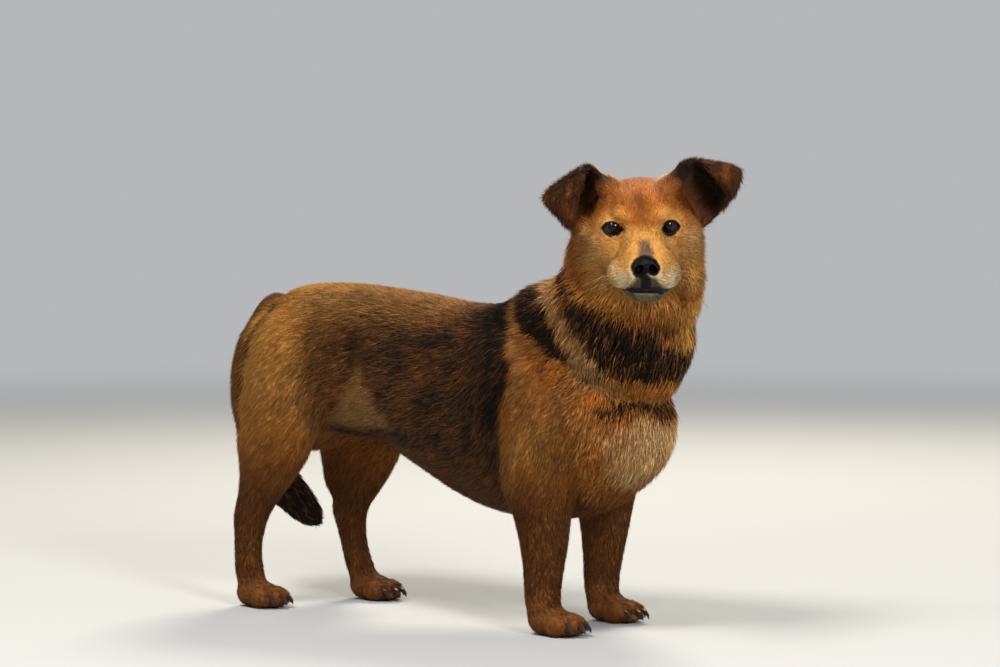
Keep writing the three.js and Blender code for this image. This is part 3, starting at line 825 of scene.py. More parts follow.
def bodyMarks(points):
    x, y, z = points.T
    wide = np.abs(y - middle)
    wander = mottle(points, 0.035) * 0.006 + mottle(points + 3, 0.014) * 0.004
    patchy, grain = mottle(points, 0.02), mottle(points + 7, 0.009)
    flat = np.stack([x + wander, z + 0.7 * wander], 1)
    band = {name: onPath(flat, np.array(rows) / 1000) for name, rows in bands.items()}
    region = {name: regionShare(points, rows) for name, rows in regions.items()}
    flank = triangleShare(flat, flankCorners, 0.007)
    edge = 0.072 + 0.25 * np.clip(0.26 - z, 0, 0.2)
    saddle = ease(-0.235, -0.09, x + 3 * wander) * ease(edge + 0.006, edge - 0.006, x + wander)
    saddle = saddle * ease(0.13, 0.2, z + 0.3 * wander)
    saddle = saddle * np.clip(0.66 + 0.3 * patchy + 0.25 * ease(-0.05, 0.06, x), 0, 1)
    nearSaddle = ease(0.05, 0.4, saddle)
    chest = ease(0.178, 0.197, x + wander) * ease(0.222, 0.208, z + wander) * ease(0.13, 0.155, z)
    chest = chest * (0.75 + 0.25 * patchy) * ease(-0.06, 0.0, y)
    onTail, _ = pathShare(points, tailPath)
    nearTail = ease(0.010, 0.0, groupFields["tail"].at(points))
    tailDark = nearTail * ease(0.5, 0.8, onTail)
    # a brown band on the rump beside the tail: partly the tail's own brown spread wider, partly the tail's
    # painted shadow
    nearTail = np.maximum(nearTail, 0.75 * band["tailEdge"] * ease(-0.260, -0.274, x) * ease(0.045, 0.03, y))
    elbow = blob(flat, (0.118, 0.192), (0.035, 0.030))
    hip = region["hip"] * (1 - nearTail)
    # on the back's top, the gold and tan and the saddle's dark held back are a painted highlight of the
    # light from behind
    gold = 0.22 + 0.25 * patchy + 0.7 * hip + 0.55 * region["backTop"] * (1 - 0.5 * saddle)
    gold = gold + elbow * (0.5 + 0.4 * grain) + 0.7 * chest + 0.8 * flank
    # gold on the throat's left side only: painted light, on the side where the light falls
    gold = gold + 0.7 * region["throat"] * ease(-0.02, 0.03, y)
    tan = np.maximum.reduce([
        band["tan"] * (1 - band["collar"]) * (0.85 + 0.25 * grain), band["narrow"] * 0.36,
        flank * (0.48 + 0.15 * grain), region["backTop"] * (0.42 + 0.2 * grain), 0.2 * nearSaddle,
    ])
    brown = np.maximum.reduce([
        0.9 * region["belly"], 0.8 * region["lowLeg"], region["backTop"] * (0.25 + 0.4 * grain),
        0.1 * region["throat"], region["shoulder"] * (0.3 + 0.4 * patchy), 0.62 * nearSaddle,
        # the brown band under the ruff is a painted shadow of the ruff
        0.8 * nearTail * (1 - tailDark), 0.9 * band["underRuff"] * ease(0.09, 0.03, wide),
    ])
    dark = np.maximum.reduce([
        band["collar"] * (0.94 + 0.2 * grain), band["wedge"] * (1 - band["tan"]), band["behind"],
        saddle * (1 - 0.6 * region["backTop"]), band["chestBand"] * 0.8 * ease(0.10, 0.06, wide),
        tailDark * 0.95, 0.6 * band["flankDark"] * (1 - flank), 0.8 * band["flankLine"],
        # the band along the groove beside the tail is painted shade
        0.75 * region["belly"] * ease(-0.03, -0.10, x), 0.75 * band["tailLine"] * ease(0.02, 0.0, y),
        0.25 * band["tan"] * ease(0.3, 0.27, z),
    ])
    solid = np.maximum.reduce([band["collar"], band["wedge"], band["behind"], tailDark, band["chestBand"]])
    return {
        "gold": gold,
        "cream": np.maximum(chest * 0.48, 0.25 * flank * ease(0.25, 0.22, z)),
        "tan": tan,
        "brown": brown * (1 - band["orange"]) * (1 - tan),
        "dark": dark * (1 - 0.68 * band["narrow"]) * (1 - 0.95 * flank) * (1 - 0.8 * band["orange"]),
        "rustTip": (1 - solid) * 0.34,
    }


def headMarks(points):
    local, _, _, eye = faceParts(points)
    x, y, z = local.T
    side = np.abs(y)
    mirrored = np.stack([x, side, z], 1)
    speck, patchy = mottle(points, 0.005), mottle(points, 0.016)
    gold = np.maximum.reduce([
        0.8 * blob(mirrored, (5, 24, 15.5), (14, 12, 5.5)),
        0.85 * ease(22, 13, eye) * ease(8, 12, eye),
        ease(-6, 12, x) * ease(10, 2, z) * ease(40, 22, side),
        ease(-62, -14, x + 6 * patchy) * ease(4, -12, z) * ease(74, 58, side + 8 * patchy)
        * (0.85 + 0.25 * speck),
        # gold on the dog's left lower cheek only: painted light, on the side where the light falls
        0.95 * ease(-28, -48, z) * ease(12, 34, y),
    ])
    cream = ease(26, 54, x + 6 * patchy) * ease(-14, -36, z + 5 * patchy) * ease(42, 25, side + 7 * patchy)
    cream = np.maximum(cream, ease(30, 50, x) * ease(-50, -56, z)) * (0.95 - 0.2 * speck)
    cream = np.maximum(cream, 0.3 * blob(mirrored, (-10, 50, -20), (26, 14, 18)) * (0.7 + 0.5 * speck))
    smudge = blob(local, (-2, -0.5, 27), (30, 6.5, 12)) * (0.75 + 0.35 * speck)
    noseSide = ease(38, 62, x + 4 * speck) * ease(-20, -15, z)
    noseSide = noseSide * ease(10.5, 5, side + 0.05 * (76 - x) + 2 * speck)
    spread = 10 + 7 * ease(-31, -43, z)
    underNose = ease(60, 66, x) * ease(3.5, -2.5, side - spread + 2.5 * speck)
    underNose = underNose * ease(-27, -31, z) * ease(-50, -47, z)
    # the chin is painted dark and grey: its dark lip, and painted shade under the mouth
    chinShadeAndLip = ease(30, 50, x) * ease(-46, -50, z)
    cheekDark = blob(mirrored, (-12, 52, -8), (22, 10, 18)) * (0.5 + 0.5 * speck)
    tear = onPath(mirrored, [(10, 16, -5, 3), (24, 20, -15, 4), (33, 27, -28, 3)]) * (0.6 + 0.4 * speck)
    ruff = ease(50, 60, side) * ease(-6, -30, z) * (0.35 + 0.4 * patchy)
    crown = ease(28, 40, z) * (0.25 + 0.35 * speck)
    return {
        "gold": gold + 0.12 * patchy,
        "cream": cream,
        "brown": np.maximum.reduce([smudge * 0.7, cheekDark * 0.4, ruff * 0.2, crown, tear * 0.45]),
        "dark": np.maximum.reduce([
            0.8 * underNose, cream * ease(0.1, 0.6, speck) * 0.5, smudge * 0.16,
            chinShadeAndLip * (0.74 + 0.16 * speck),
        ]),
        "black": underNose * ease(-37, -44, z + 2 * speck),
        "grey": np.maximum.reduce([0.9 * noseSide, 0.7 * underNose * ease(-43, -36, z), 0.4 * chinShadeAndLip]),
    }


def earMarks(points, normals):
    local = toHead(points)
    facing = normals @ headTurn[:, 0]
    inside, tuft = 0, 0
    for side, path in earPaths.items():
        share, _ = pathShare(local, path)
        here = np.sign(local[:, 1]) == side
        inside = inside + here * ease(0.1, 0.4, facing) * ease(0.62, 0.5, share)
        tuft = tuft + here * ease(0.2, 0.05, share)
    streak = ease(0.1, 0.6, mottle(points * (1, 1, 0.5), 0.006))
    spot = blob(local, (-35, 58, -6), (18, 9, 10))
    inside = inside * (1 - 0.8 * spot)
    tuft = np.maximum(tuft * (1 - inside), spot)
    # inside the ear, dark and black: its dark hair, and painted shade in the ear's hollow
    return {
        "brown": 1 - 0.45 * streak * (1 - inside) - 0.75 * tuft,
        "dark": 0.52 + 0.36 * inside - 0.3 * streak - 0.5 * tuft,
        "black": inside * 0.4,
        "gold": 0.25 * tuft,
    }


markNames = ("gold", "cream", "tan", "brown", "dark", "grey", "black")


def markings(points, normals, shares=None):
    # every marking's strength, 0 to 1, where body, head and ears each have their own
    shares = shareField.at(points) if shares is None else shares
    # groups past the fields' band keep a little share each, which is taken back here
    onEar, onHead = 1.3 * shareOf(shares, "ear"), 1.3 * shareOf(shares, "head", "jaw")
    both = np.maximum(onEar + onHead, 1)
    onEar, onHead = onEar / both, onHead / both
    total = {name: np.zeros(len(points)) for name in (*markNames, "rustTip")}
    for weight, marks in (
        (1 - onEar - onHead, bodyMarks(points)),
        (onHead, headMarks(points)),
        (onEar, earMarks(points, normals)),
    ):
        for name, value in marks.items():
            total[name] += weight * np.clip(value, 0, 1)
    return {name: np.clip(value, 0, 1).astype(np.float32) for name, value in total.items()}


def bareParts(points):
    # 1 where no hair grows: lids, lips, the bridge's patch and the soles
    local = toHead(points)
    aside = np.abs(local[:, 1])
    lips = capsule(local - np.array((0, 0, 1)) * (1 + 2.4 * ease(14, 27, aside))[:, None], lipLine)
    thick = 3.3 + 1.1 * ease(24, 14, aside)
    bare = np.maximum(ease(0.006, 0.002, points[:, 2]), ease(1, 0, lips - thick) * (local[:, 0] > 24))
    bare = np.maximum(bare, ease(6.5, 5, capsule(local, [(78, 0, -30), (74, 0, -44)])))
    bare = np.maximum(bare, ease(1.6, 0.8, noseBody(local)))
    for side in (-1, 1):
        across, up, ahead = lidPlane(local, side)
        bare = np.maximum(bare, ease(1.7, 0.9, lidEdge(across, up)) * (ahead > 0))
    return bare


def setNumbers(ob, numbers):
    for name, values in numbers.items():
        layer = ob.data.attributes.new(name, "FLOAT", "POINT")
        layer.data.foreach_set("value", np.ascontiguousarray(values, np.float32))


skinMarks = markings(skinPoints, skinNormals)
skinBare = bareParts(skinPoints)
skinMarks["black"] = np.maximum(skinMarks["black"], skinBare)
setNumbers(skinPiece, {**skinMarks, "bare": np.maximum(skinBare, skinMarks["grey"])})
report("markings")

# the skin's own unwrap, which the coat's patches follow; the nodes that the skin replaces are hidden from it
bpy.context.view_layer.objects.active = skinPiece
skinPiece.select_set(True)
skinPiece.data.uv_layers.new(name="OFBake")
bpy.ops.object.mode_set(mode="EDIT")
bpy.ops.mesh.select_all(action="SELECT")
bpy.ops.uv.smart_project(angle_limit=1.15, island_margin=0.002, scale_to_bounds=True)
bpy.ops.object.mode_set(mode="OBJECT")
cornerPlaces = numbersOf(skinPiece.data.uv_layers["OFBake"].uv, "vector", 2, np.float32)[skinLoops]
report("unwrapped")

# the coat: closed three-sided tufts that lie along the body
coat = {
    "lock": 9,  # tufts that draw together
    "pull": 0.3,
    "sink": 0.6,  # millimetres under the skin
    "patch": 0.003,  # of the unwrap, one tuft
    "limit": 190000,  # triangles in one piece
    "swing": 0.14,
}
noseTip = np.array((74, 0, -21))


def bodyLie(points, shares):
    # the way the hair runs, before it is laid flat on the skin
    local, _, cheek, eye = faceParts(points)
    x, y, _ = points.T
    side = np.sign(y - middle)
    front = ease(0.13, 0.22, x)
    face = unit(local - noseTip) + np.array((-0.55, 0, 0.1))
    face[:, 1] += 0.35 * cheek * np.sign(local[:, 1])
    face[:, 2] -= 0.55 * cheek
    face = face + 0.9 * ease(24, 13, eye)[:, None] * unit(fromEye(local) * (0, 1, 1))
    earWay = np.zeros((len(points), 3))
    for at, path in earPaths.items():
        here = np.sign(local[:, 1]) == at
        earWay[here] = (pathShare(local, path)[1] @ headTurn.T)[here]
    ways = {
        "head": (unit(face) @ headTurn.T).T,
        "jaw": np.array((-1, 0, -0.15)) @ headTurn.T,
        "ear": earWay.T,
        "neck": (-0.6 + 0.4 * ease(0.2, 0.26, x), 0.1 * side, -0.85),
        "trunk": (-1 + 0.85 * front, 0.25 * side * front, -0.3 - 1.3 * front),
        "tail": pathShare(points, tailPath)[1].T,
        "upperArm": (-0.6, 0.1 * side, -1),
        "forearm": (-0.15, 0, -1),
        "forePaw": (0.8, 0, -0.5),
        "thigh": (-0.8, 0, -0.8),
        "shank": (-0.3, 0, -1),
        "hindPaw": (0.8, 0, -0.5),
    }
    ways = {name: np.stack(np.broadcast_arrays(*way, x)[:3], 1) for name, way in ways.items()}
    total = sum(shares[:, k, None] * unit(ways[name]) for k, name in enumerate(groupNames))
    swirl = np.stack([mottle(points + shift, 0.05) for shift in (0, 5, 9)], 1)
    return unit(total + 0.2 * swirl)


def growRoots():
    # roots spread over the skin by the spacing that each region asks for
    corners = skinPoints[skinFaces]
    middles = corners.mean(1)
    area = np.linalg.norm(np.cross(corners[:, 1] - corners[:, 0], corners[:, 2] - corners[:, 0]), axis=1) / 2
    spacing = coatNumber(middles, "spacing") / 1000
    bare = np.maximum(bareParts(middles), 0.5 * skinMarks["grey"][skinFaces].mean(1))
    inNose = noseBody(toHead(middles)) < 0.3
    wanted = area / spacing**2 * (1 - ease(0.4, 0.8, bare)) * (1 - inNose)
    total = np.cumsum(wanted)
    count = int(total[-1])
    picks = np.searchsorted(total, (np.arange(count) + rng.uniform(0, 1, count)) * total[-1] / count)
    picks = np.minimum(picks, len(skinFaces) - 1)
    u, v = np.sqrt(rng.uniform(0, 1, (count, 1))), rng.uniform(0, 1, (count, 1))
    weights = np.concatenate([1 - u, u * (1 - v), u * v], 1)
    faces = skinFaces[picks]

    def mixed(values):
        return np.einsum("ij,ijk->ik", weights, values)

    return mixed(skinPoints[faces]), unit(mixed(skinNormals[faces])), mixed(cornerPlaces[picks])


rootAt, normal, rootPlace = growRoots()
count = len(rootAt)
shares = shareField.at(rootAt)
group = shares.argmax(1)
onFace = shareOf(shares, "head", "jaw", "ear", "forePaw", "hindPaw")
length = coatNumber(rootAt, "length", shares) / 1000 * rng.uniform(0.7, 1.2, count)
width = coatNumber(rootAt, "width", shares) / 1000 * rng.uniform(0.75, 1.2, count)
lift = np.radians(coatNumber(rootAt, "lift", shares)) * rng.uniform(0.55, 1.4, count)
lie = bodyLie(rootAt, shares)
lie = unit(lie - (lie * normal).sum(1, keepdims=True) * normal)
swing = coat["swing"] * (rng.normal(0, 1, (count, 1)) + mottle(rootAt, 0.012)[:, None])
lie = unit(lie + np.cross(normal, lie) * swing)
across = np.cross(normal, lie)
# a tuft takes the marking under its middle, where it is seen
jitter = (0.0018 - 0.0008 * onFace)[:, None] * rng.normal(0, 1, (count, 3))
marks = markings(rootAt + jitter + lie * length[:, None] * 0.55, normal, shares)
report(f"{count} tufts laid")

# each tuft leans to the middle of its lock
lockRoots = rng.choice(count, count // coat["lock"], replace=False)
tree = kdtree.KDTree(len(lockRoots))
for k, root in enumerate(lockRoots):
    tree.insert(rootAt[root], k)
tree.balance()
own = np.array([tree.find(at)[1] for at in rootAt])
toLock = rootAt[lockRoots[own]] - rootAt
far = np.linalg.norm(toLock, axis=1, keepdims=True)
toLock = toLock * np.minimum(1, 0.5 * length[:, None] / np.maximum(far, 1e-6))
toLock = toLock * coat["pull"]
lockTone = rng.normal(0, 1, len(lockRoots))[own]
tone = 0.5 * rng.normal(0, 1, count) + 0.4 * lockTone + 0.55 * mottle(rootAt, 0.008)
tone = np.clip(tone + 0.8 * onFace * mottle(rootAt, 0.0035), -1.8, 1.8)

# single hairs differ: a dark region holds rust ones, and rust ones have dark tips
dice = rng.uniform(0, 1, (4, count))
onBody = 1 - onFace
spread = 0.3 * onBody + 0.1
deep = marks["dark"] + 0.1 * marks["dark"] ** 4
marks["dark"] = np.where(onFace > 0.5, marks["dark"], ease(dice[0] - spread, dice[0] + spread, deep))
marks["brown"] = np.clip(marks["brown"] + 0.16 * rng.normal(0, 1, count), 0, 1)
marks["gold"] = np.clip(marks["gold"] + 0.12 * rng.normal(0, 1, count), 0, 1)
marks["rustTip"] = onBody * (dice[1] < marks["rustTip"]) * (marks["dark"] > 0.5) * dice[2]
marks["darkTip"] = onBody * (dice[1] < 0.26 + 0.16 * mottle(rootAt, 0.02)) * (marks["dark"] < 0.5) * dice[2]
marks["tone"] = tone
report("locks")


def coatHeight(points):
    return skinAt(points, cuts=False)


triangleSides = ((0, 1), (1, 2), (2, 0))


def sleeve(first, rings):
    # triangles between three-sided rings that follow one another
    faces = []
    for low in range(first, first + 3 * (rings - 1), 3):
        for a, b in triangleSides:
            faces += [(low + a, low + b, low + 3 + b), (low + a, low + 3 + b, low + 3 + a)]
    return faces


def finishPiece(ob, look, slot, *replaced):
    ob.data.materials.append(look.material)
    joinBody(ob, slot, *replaced)


def tufts(name, chosen, rings, look, slot):
    # one mesh of closed tufts: a base, one or two three-sided rings and a tip
    n = len(chosen)
    ringWidths = {1: (1.0,), 2: (0.8, 0.85)}[rings]
    at, nrm, way, side = (a[chosen] for a in (rootAt, normal, lie, across))
    size, thick, tilt = length[chosen, None], width[chosen, None], lift[chosen, None]
    bend = rng.normal(0, 0.10, (n, 1))
    onEar = np.clip(2.5 * shareOf(shares[chosen], "ear"), 0, 1)[:, None]
    points, along = [], []
    for k in range(rings + 1):
        s = k / rings
        height = size * np.sin(tilt) * (1.5 * s - 0.5 * s * s) - coat["sink"] / 1000 * (1 - s) ** 4
        run = size * np.cos(tilt) * s
        line = at + way * run + side * size * bend * s * s + toLock[chosen] * s**1.5
        if k:
            # keeps its height over the skin as the body curves away
            off = coatHeight(line)[:, None]
            free = (1 - onEar) * (np.abs(off) < 0.01)
            raised = slopeOf(coatHeight, line, 0.003) * (height - off)
            line = line + raised * free + nrm * height * (1 - free)
        else:
            line = line + nrm * height
        if k == rings:
            points.append(line)
        else:
            w = thick * ringWidths[k]
            points += [line - side * w / 2, line + side * w / 2, line + nrm * w * 0.42]
        along += [np.full(n, s)] * (1 if k == rings else 3)
    each = len(points)
    last = 3 * (rings - 1)
    faces = [(0, 2, 1), *sleeve(0, rings)] + [(last + a, last + b, each - 1) for a, b in triangleSides]
    every = (np.array(faces)[None] + each * np.arange(n)[:, None, None]).reshape(-1, 3)
    ob = meshFrom(name, np.stack(points, 1).reshape(-1, 3), every)
    patch = [(dx, k / rings - 0.5) for k in range(rings) for dx in (-0.5, 0.5, 0)] + [(0, 0.5)]
    patches = rootPlace[chosen][:, None] + np.array(patch)[None] * coat["patch"]
    patches = np.clip(patches, 0, 1).reshape(-1, 2)[every.ravel()]
    ob.data.uv_layers.new(name="OFBake").uv.foreach_set("vector", patches.astype(np.float32).ravel())
    setNumbers(ob, {key: np.repeat(value[chosen], each) for key, value in marks.items()})
    setNumbers(ob, {"along": np.stack(along, 1).ravel()})
    finishPiece(ob, look, slot)


# materials
def colour(red, green, blue):
    # screen values 0-255 to a linear colour
    parts = [value / 255 for value in (red, green, blue)]
    return (*[part / 12.92 if part < 0.04045 else ((part + 0.055) / 1.055) ** 2.4 for part in parts], 1)


class Wire:
    # a socket that can stand in a sum
    def __init__(self, look, socket):
        self.look, self.socket = look, socket

    def sum(self, kind, a, b):
        return self.look.node("ShaderNodeMath", {"operation": kind}, {0: a, 1: b})

    def __add__(self, other):
        return self.sum("ADD", self, other)

    def __sub__(self, other):
        return self.sum("SUBTRACT", self, other)

    def __rsub__(self, other):
        return self.sum("SUBTRACT", other, self)

    def __mul__(self, other):
        return self.sum("MULTIPLY", self, other)

    __radd__ = __add__
    __rmul__ = __mul__


class Look:
    # one material and the ways to fill it
    def __init__(self, name, fixed):
        self.material = bpy.data.materials.new(name)
        self.material.use_nodes = True
        self.tree = self.material.node_tree
        self.surface = self.tree.nodes["Principled BSDF"]
        self.fill(self.surface, fixed)

    def fill(self, made, sockets):
        for key, value in sockets.items():
            if isinstance(value, Wire):
                self.tree.links.new(value.socket, made.inputs[key])
            else:
                made.inputs[key].default_value = value

    def node(self, kind, settings, sockets, out=0):
        made = self.tree.nodes.new(kind)
        stops = settings.pop("stops", ())
        for key, value in settings.items():
            setattr(made, key, value)
        for k, (at, tint) in enumerate(stops):
            spot = made.color_ramp.elements[k] if k < 2 else made.color_ramp.elements.new(at)
            spot.position, spot.color = at, tint
        self.fill(made, sockets)
        return Wire(self, made.outputs[out])

    def number(self, name):
        return self.node("ShaderNodeAttribute", {"attribute_name": name}, {}, "Fac")

    def mix(self, share, a, b, way="MIX"):
        kind = {"data_type": "RGBA", "blend_type": way}
        return self.node("ShaderNodeMix", kind, {0: share, 6: a, 7: b}, 2)

    def shaded(self, base, light):
        # a colour made lighter or darker by one number
        grey = self.node("ShaderNodeCombineColor", {}, {0: light, 1: light, 2: light})
        return self.mix(1.0, base, grey, "MULTIPLY")

    def noise(self, scale, detail=2.0):
        return self.node("ShaderNodeTexNoise", {}, {"Scale": scale, "Detail": detail}, "Fac")

    def bump(self, height, strength, distance):
        sockets = {"Strength": strength, "Distance": distance, "Height": height}
        return self.node("ShaderNodeBump", {}, sockets)

    def feed(self, sockets):
        self.fill(self.surface, sockets)


tones = {
    "rust": colour(166, 93, 31),
    "gold": colour(218, 156, 76),
    "cream": colour(240, 216, 166),
    "tan": colour(176, 134, 84),
    "brown": colour(86, 50, 26),
    "fleck": colour(130, 96, 66),
    "dark": colour(18, 12, 8),
    "grey": colour(50, 44, 39),
    "black": colour(12, 10, 9),
}


def coatColours(look):
    # rust, with each marking laid over the one before
    base = tones["rust"]
    for name in markNames:
        base = look.mix(look.number(name), base, tones[name])
    return base


fur = Look("coatFur", {"Roughness": 0.6, "Specular IOR Level": 0.12})
along, shade = fur.number("along"), fur.number("tone")
furBase = fur.mix(fur.number("darkTip") * along, coatColours(fur), tones["dark"])
furBase = fur.mix(fur.number("rustTip") * along, furBase, tones["fleck"])
# tufts darker at the root and lighter at the tip: partly the hair's own banding, partly painted shade deep
# in the coat
fur.feed({"Base Color": fur.shaded(furBase, 0.4 + along * 0.85 + shade * 0.22)})

under = Look("skinUnderCoat", {"Specular IOR Level": 0.08})
grain = under.noise(420.0, 3.0)
bare = under.number("bare")
# haired skin is painted at half brightness, a painted shade under the coat; bare skin is lighter
under.feed({
    "Base Color": under.shaded(coatColours(under), 0.5 + grain * 0.25 + bare * 0.3),
    "Roughness": 0.68 - bare * 0.12,
    "Normal": under.bump(grain, 0.5, 0.0008),
})
skinPiece.data.materials.append(under.material)

# the coat's pieces: groups, rings, slot
coatPieces = {
    "coatFace": (("head", "jaw"), 1, "coat_face"),
    "coatEars": (("ear",), 1, "coat_ear"),
    "coatNeck": (("neck",), 2, "coat_neck"),
    "coatChest": (("chest",), 2, "coat_neck"),
    "coatTrunk": (("trunk",), 1, "coat_saddle"),
    "coatTail": (("tail",), 2, "coat_rust"),
    "coatShoulders": (("upperArm",), 1, "coat_rust"),
    "coatThighs": (("thigh",), 1, "coat_rust"),
    "coatLegs": (("forearm", "forePaw", "shank", "hindPaw"), 1, "coat_leg"),
}
onChest = (group == groupNames.index("trunk")) & (rootAt[:, 0] > 0.14)
names = np.array([*groupNames, "chest"])[np.where(onChest, -1, group)]
coatTotal = 0
for name, (members, rings, slot) in coatPieces.items():
    chosen = np.flatnonzero(np.isin(names, members))
    chosen = chosen[np.argsort(rootAt[chosen, 0])]
    each = {1: 4, 2: 10}[rings]
    parts = math.ceil(len(chosen) * each / coat["limit"])
    for k, part in enumerate(np.array_split(chosen, parts)):
        tufts(f"{name}{k + 1}" if parts > 1 else name, part, rings, fur, slot)
    coatTotal += len(chosen) * each
    print(name, len(chosen), "tufts,", len(chosen) * each, "triangles")
report(f"coat of {coatTotal} triangles")


def ringFaces(rings, around, closed=False):
    # quads between rings of points that follow one another, in a circle if closed
    steps = np.arange(around)
    after = (steps + 1) % around
    low = np.arange(rings if closed else rings - 1)[:, None] * around
    high = (low + around) % (rings * around)
    return np.stack([low + steps, low + after, high + after, high + steps], -1).reshape(-1, 4)


def capEnds(form):
    bmesh.ops.holes_fill(form, edges=[edge for edge in form.edges if edge.is_boundary])
    bmesh.ops.recalc_face_normals(form, faces=form.faces)


def sweep(name, line, radii, around, look, slot, closed=False):
    # a tube along a line of points in metres, tapered to its radii; open lines get capped ends
    ahead = unit(np.roll(line, -1, 0) - np.roll(line, 1, 0) if closed else np.gradient(line, axis=0))
    up = unit(np.cross(ahead, np.cross(line - line.mean(0) + 1e-6, ahead)))
    side = np.cross(ahead, up)
    turns = np.arange(around) * 2 * math.pi / around
    ring = np.cos(turns)[None, :, None] * side[:, None] + np.sin(turns)[None, :, None] * up[:, None]
    points = (line[:, None] + ring * radii[:, None, None]).reshape(-1, 3)
    ob = meshFrom(name, points, outward(points, ringFaces(len(line), around, closed)))
    if not closed:
        remade(ob, capEnds)
    finishPiece(ob, look, slot)


def spaced(path, count):
    # points at even steps on a smooth curve through a path
    path = np.asarray(path, float)
    ends = np.concatenate([2 * path[:1] - path[1:2], path, 2 * path[-1:] - path[-2:-1]])
    t = np.linspace(0, len(path) - 1, count)
    k = np.minimum(t.astype(int), len(path) - 2)
    u = (t - k)[:, None]
    p0, p1, p2, p3 = (ends[k + j] for j in range(4))
    square, cube = 2 * p0 - 5 * p1 + 4 * p2 - p3, 3 * p1 - p0 - 3 * p2 + p3
    return 0.5 * (2 * p1 + (p2 - p0) * u + square * u**2 + cube * u**3)


# bare dark skin of lids and lips
rimSkin = Look("rimSkin", {"Base Color": colour(9, 8, 8), "Roughness": 0.5, "Specular IOR Level": 0.16})
rimSkin.feed({"Normal": rimSkin.bump(rimSkin.noise(900.0), 0.4, 0.0003)})
for side, name in ((-1, "right"), (1, "left")):
    turns = np.linspace(0, 2 * math.pi, 72, endpoint=False)
    lidAcross = (lids["half"] + 0.3) * np.cos(turns)
    lidUp = lidHeight(np.clip(lidAcross, -lids["half"], lids["half"]), np.sin(turns) > 0)
    lidUp = np.sign(np.sin(turns)) * lidUp
    lidAhead = np.sqrt((eyes["ball"] + 0.6) ** 2 - lidAcross**2 - lidUp**2)
    line = fromHead(lidPoint(lidAcross, lidUp, lidAhead, side))
    rim = lids["rim"] * (0.82 + 0.18 * np.abs(np.sin(turns))) / 1000
    sweep(f"lids_{name}", line, rim, 10, rimSkin, "nose_leather", closed=True)

# eyeballs: the cornea bulges, and the iris lies round the pupil; millimetres from the pupil's middle
eyeLook = {"pupil": 4.4, "iris": 7.4, "cornea": 1.1, "rings": 48, "around": 64, "widest": 10}
eyeGloss = Look("eyeGloss", {"Roughness": 0.04, "Specular IOR Level": 0.2})
fromPupil = eyeGloss.number("fromPupil")
streaks = eyeGloss.noise(900.0, 3.0)
pupilEdge, irisEdge = eyeLook["pupil"] / eyeLook["widest"], eyeLook["iris"] / eyeLook["widest"]
stops = [
    (0.0, (0.002, 0.002, 0.002, 1)),
    (pupilEdge, (0.003, 0.002, 0.002, 1)),
    (pupilEdge + 0.05, (0.016, 0.006, 0.003, 1)),
    (irisEdge - 0.12, (0.030, 0.011, 0.005, 1)),
    (irisEdge, (0.006, 0.004, 0.003, 1)),
    (0.88, (0.016, 0.010, 0.008, 1)),
]
iris = eyeGloss.node("ShaderNodeValToRGB", {"stops": stops}, {"Fac": fromPupil * (1 / eyeLook["widest"])})
eyeGloss.feed({"Base Color": eyeGloss.shaded(iris, 0.6 + streaks * 0.8)})
tilts = np.linspace(0, math.pi, eyeLook["rings"])
turns = np.arange(eyeLook["around"]) * 2 * math.pi / eyeLook["around"]
radius = (eyes["ball"] - 0.15) / 1000 + eyeLook["cornea"] * ease(0.72, 0.30, tilts) / 1000
for side, name in ((-1, "right"), (1, "left")):
    centre = eyeMiddles[side]
    gaze = unit(np.array(cameraLook["at"]) - centre)
    sideways = unit(np.cross((0, 0, 1), gaze))
    upward = np.cross(gaze, sideways)
    flat = np.cos(turns)[:, None] * sideways + np.sin(turns)[:, None] * upward
    points = np.cos(tilts)[:, None, None] * gaze + np.sin(tilts)[:, None, None] * flat[None]
    points = (centre + points * radius[:, None, None]).reshape(-1, 3)
    ball = meshFrom(f"eyeball_{name}", points, outward(points - centre, ringFaces(len(tilts), len(turns))))
    setNumbers(ball, {"fromPupil": np.repeat(tilts * eyes["ball"], eyeLook["around"])})
    remade(ball, lambda form: bmesh.ops.remove_doubles(form, verts=form.verts, dist=1e-6))
    finishPiece(ball, eyeGloss, "eye_gloss", f"eye_{name}")
report("eyes")

# nose: a pad with comma nostrils and the cleft under it
noseGrid = {"step": 0.5, "low": (58, -18, -42), "high": (90, 18, -6)}
noseAxes = [np.arange(low, high, noseGrid["step"]) for low, high in zip(noseGrid["low"], noseGrid["high"])]
noseAround = gridPoints(noseAxes)
noseLocal = noseAround.reshape(-1, 3)
pad = blendMax(noseBody(noseLocal), -nosePits(noseLocal), 0.8)
cleft = capsule(noseLocal, [(86.4, 0, -22), (85.0, 0, -27), (81.5, 0, -38)]) - 0.7
pad = blendMax(pad, -cleft, 0.7)
dip = egg(noseLocal, (78, 0, -8.5), (9, 3.2, 2.2))
pad = blendMax(pad, -dip, 1.5)
places, _, quads = surfaceOf(np.clip(pad, -3, 3).reshape(noseAround.shape[:3]))
nosePoints = fromHead(places * noseGrid["step"] + np.array(noseGrid["low"]))
nosePad = meshFrom("noseLeather", nosePoints, outward(nosePoints - fromHead((72, 0, -22)), quads))
leather = Look("noseLeather", {"Roughness": 0.17, "Specular IOR Level": 0.07})
cells = leather.node("ShaderNodeTexVoronoi", {"feature": "F1"}, {"Scale": 950.0}, "Distance")
leather.feed({
    "Base Color": leather.mix(leather.noise(160.0), colour(2, 2, 2), colour(7, 6, 6)),
    "Normal": leather.bump(1 - cells, 0.4, 0.0004),
})
finishPiece(nosePad, leather, "nose_leather", "nose")


def onSkin(local, rounds=6):
    # brings head-local places onto the head without its mouth groove
    points = fromHead(local)
    for _ in range(rounds):
        points = points - coatHeight(points)[:, None] * slopeOf(coatHeight, points, 0.002)
    return points


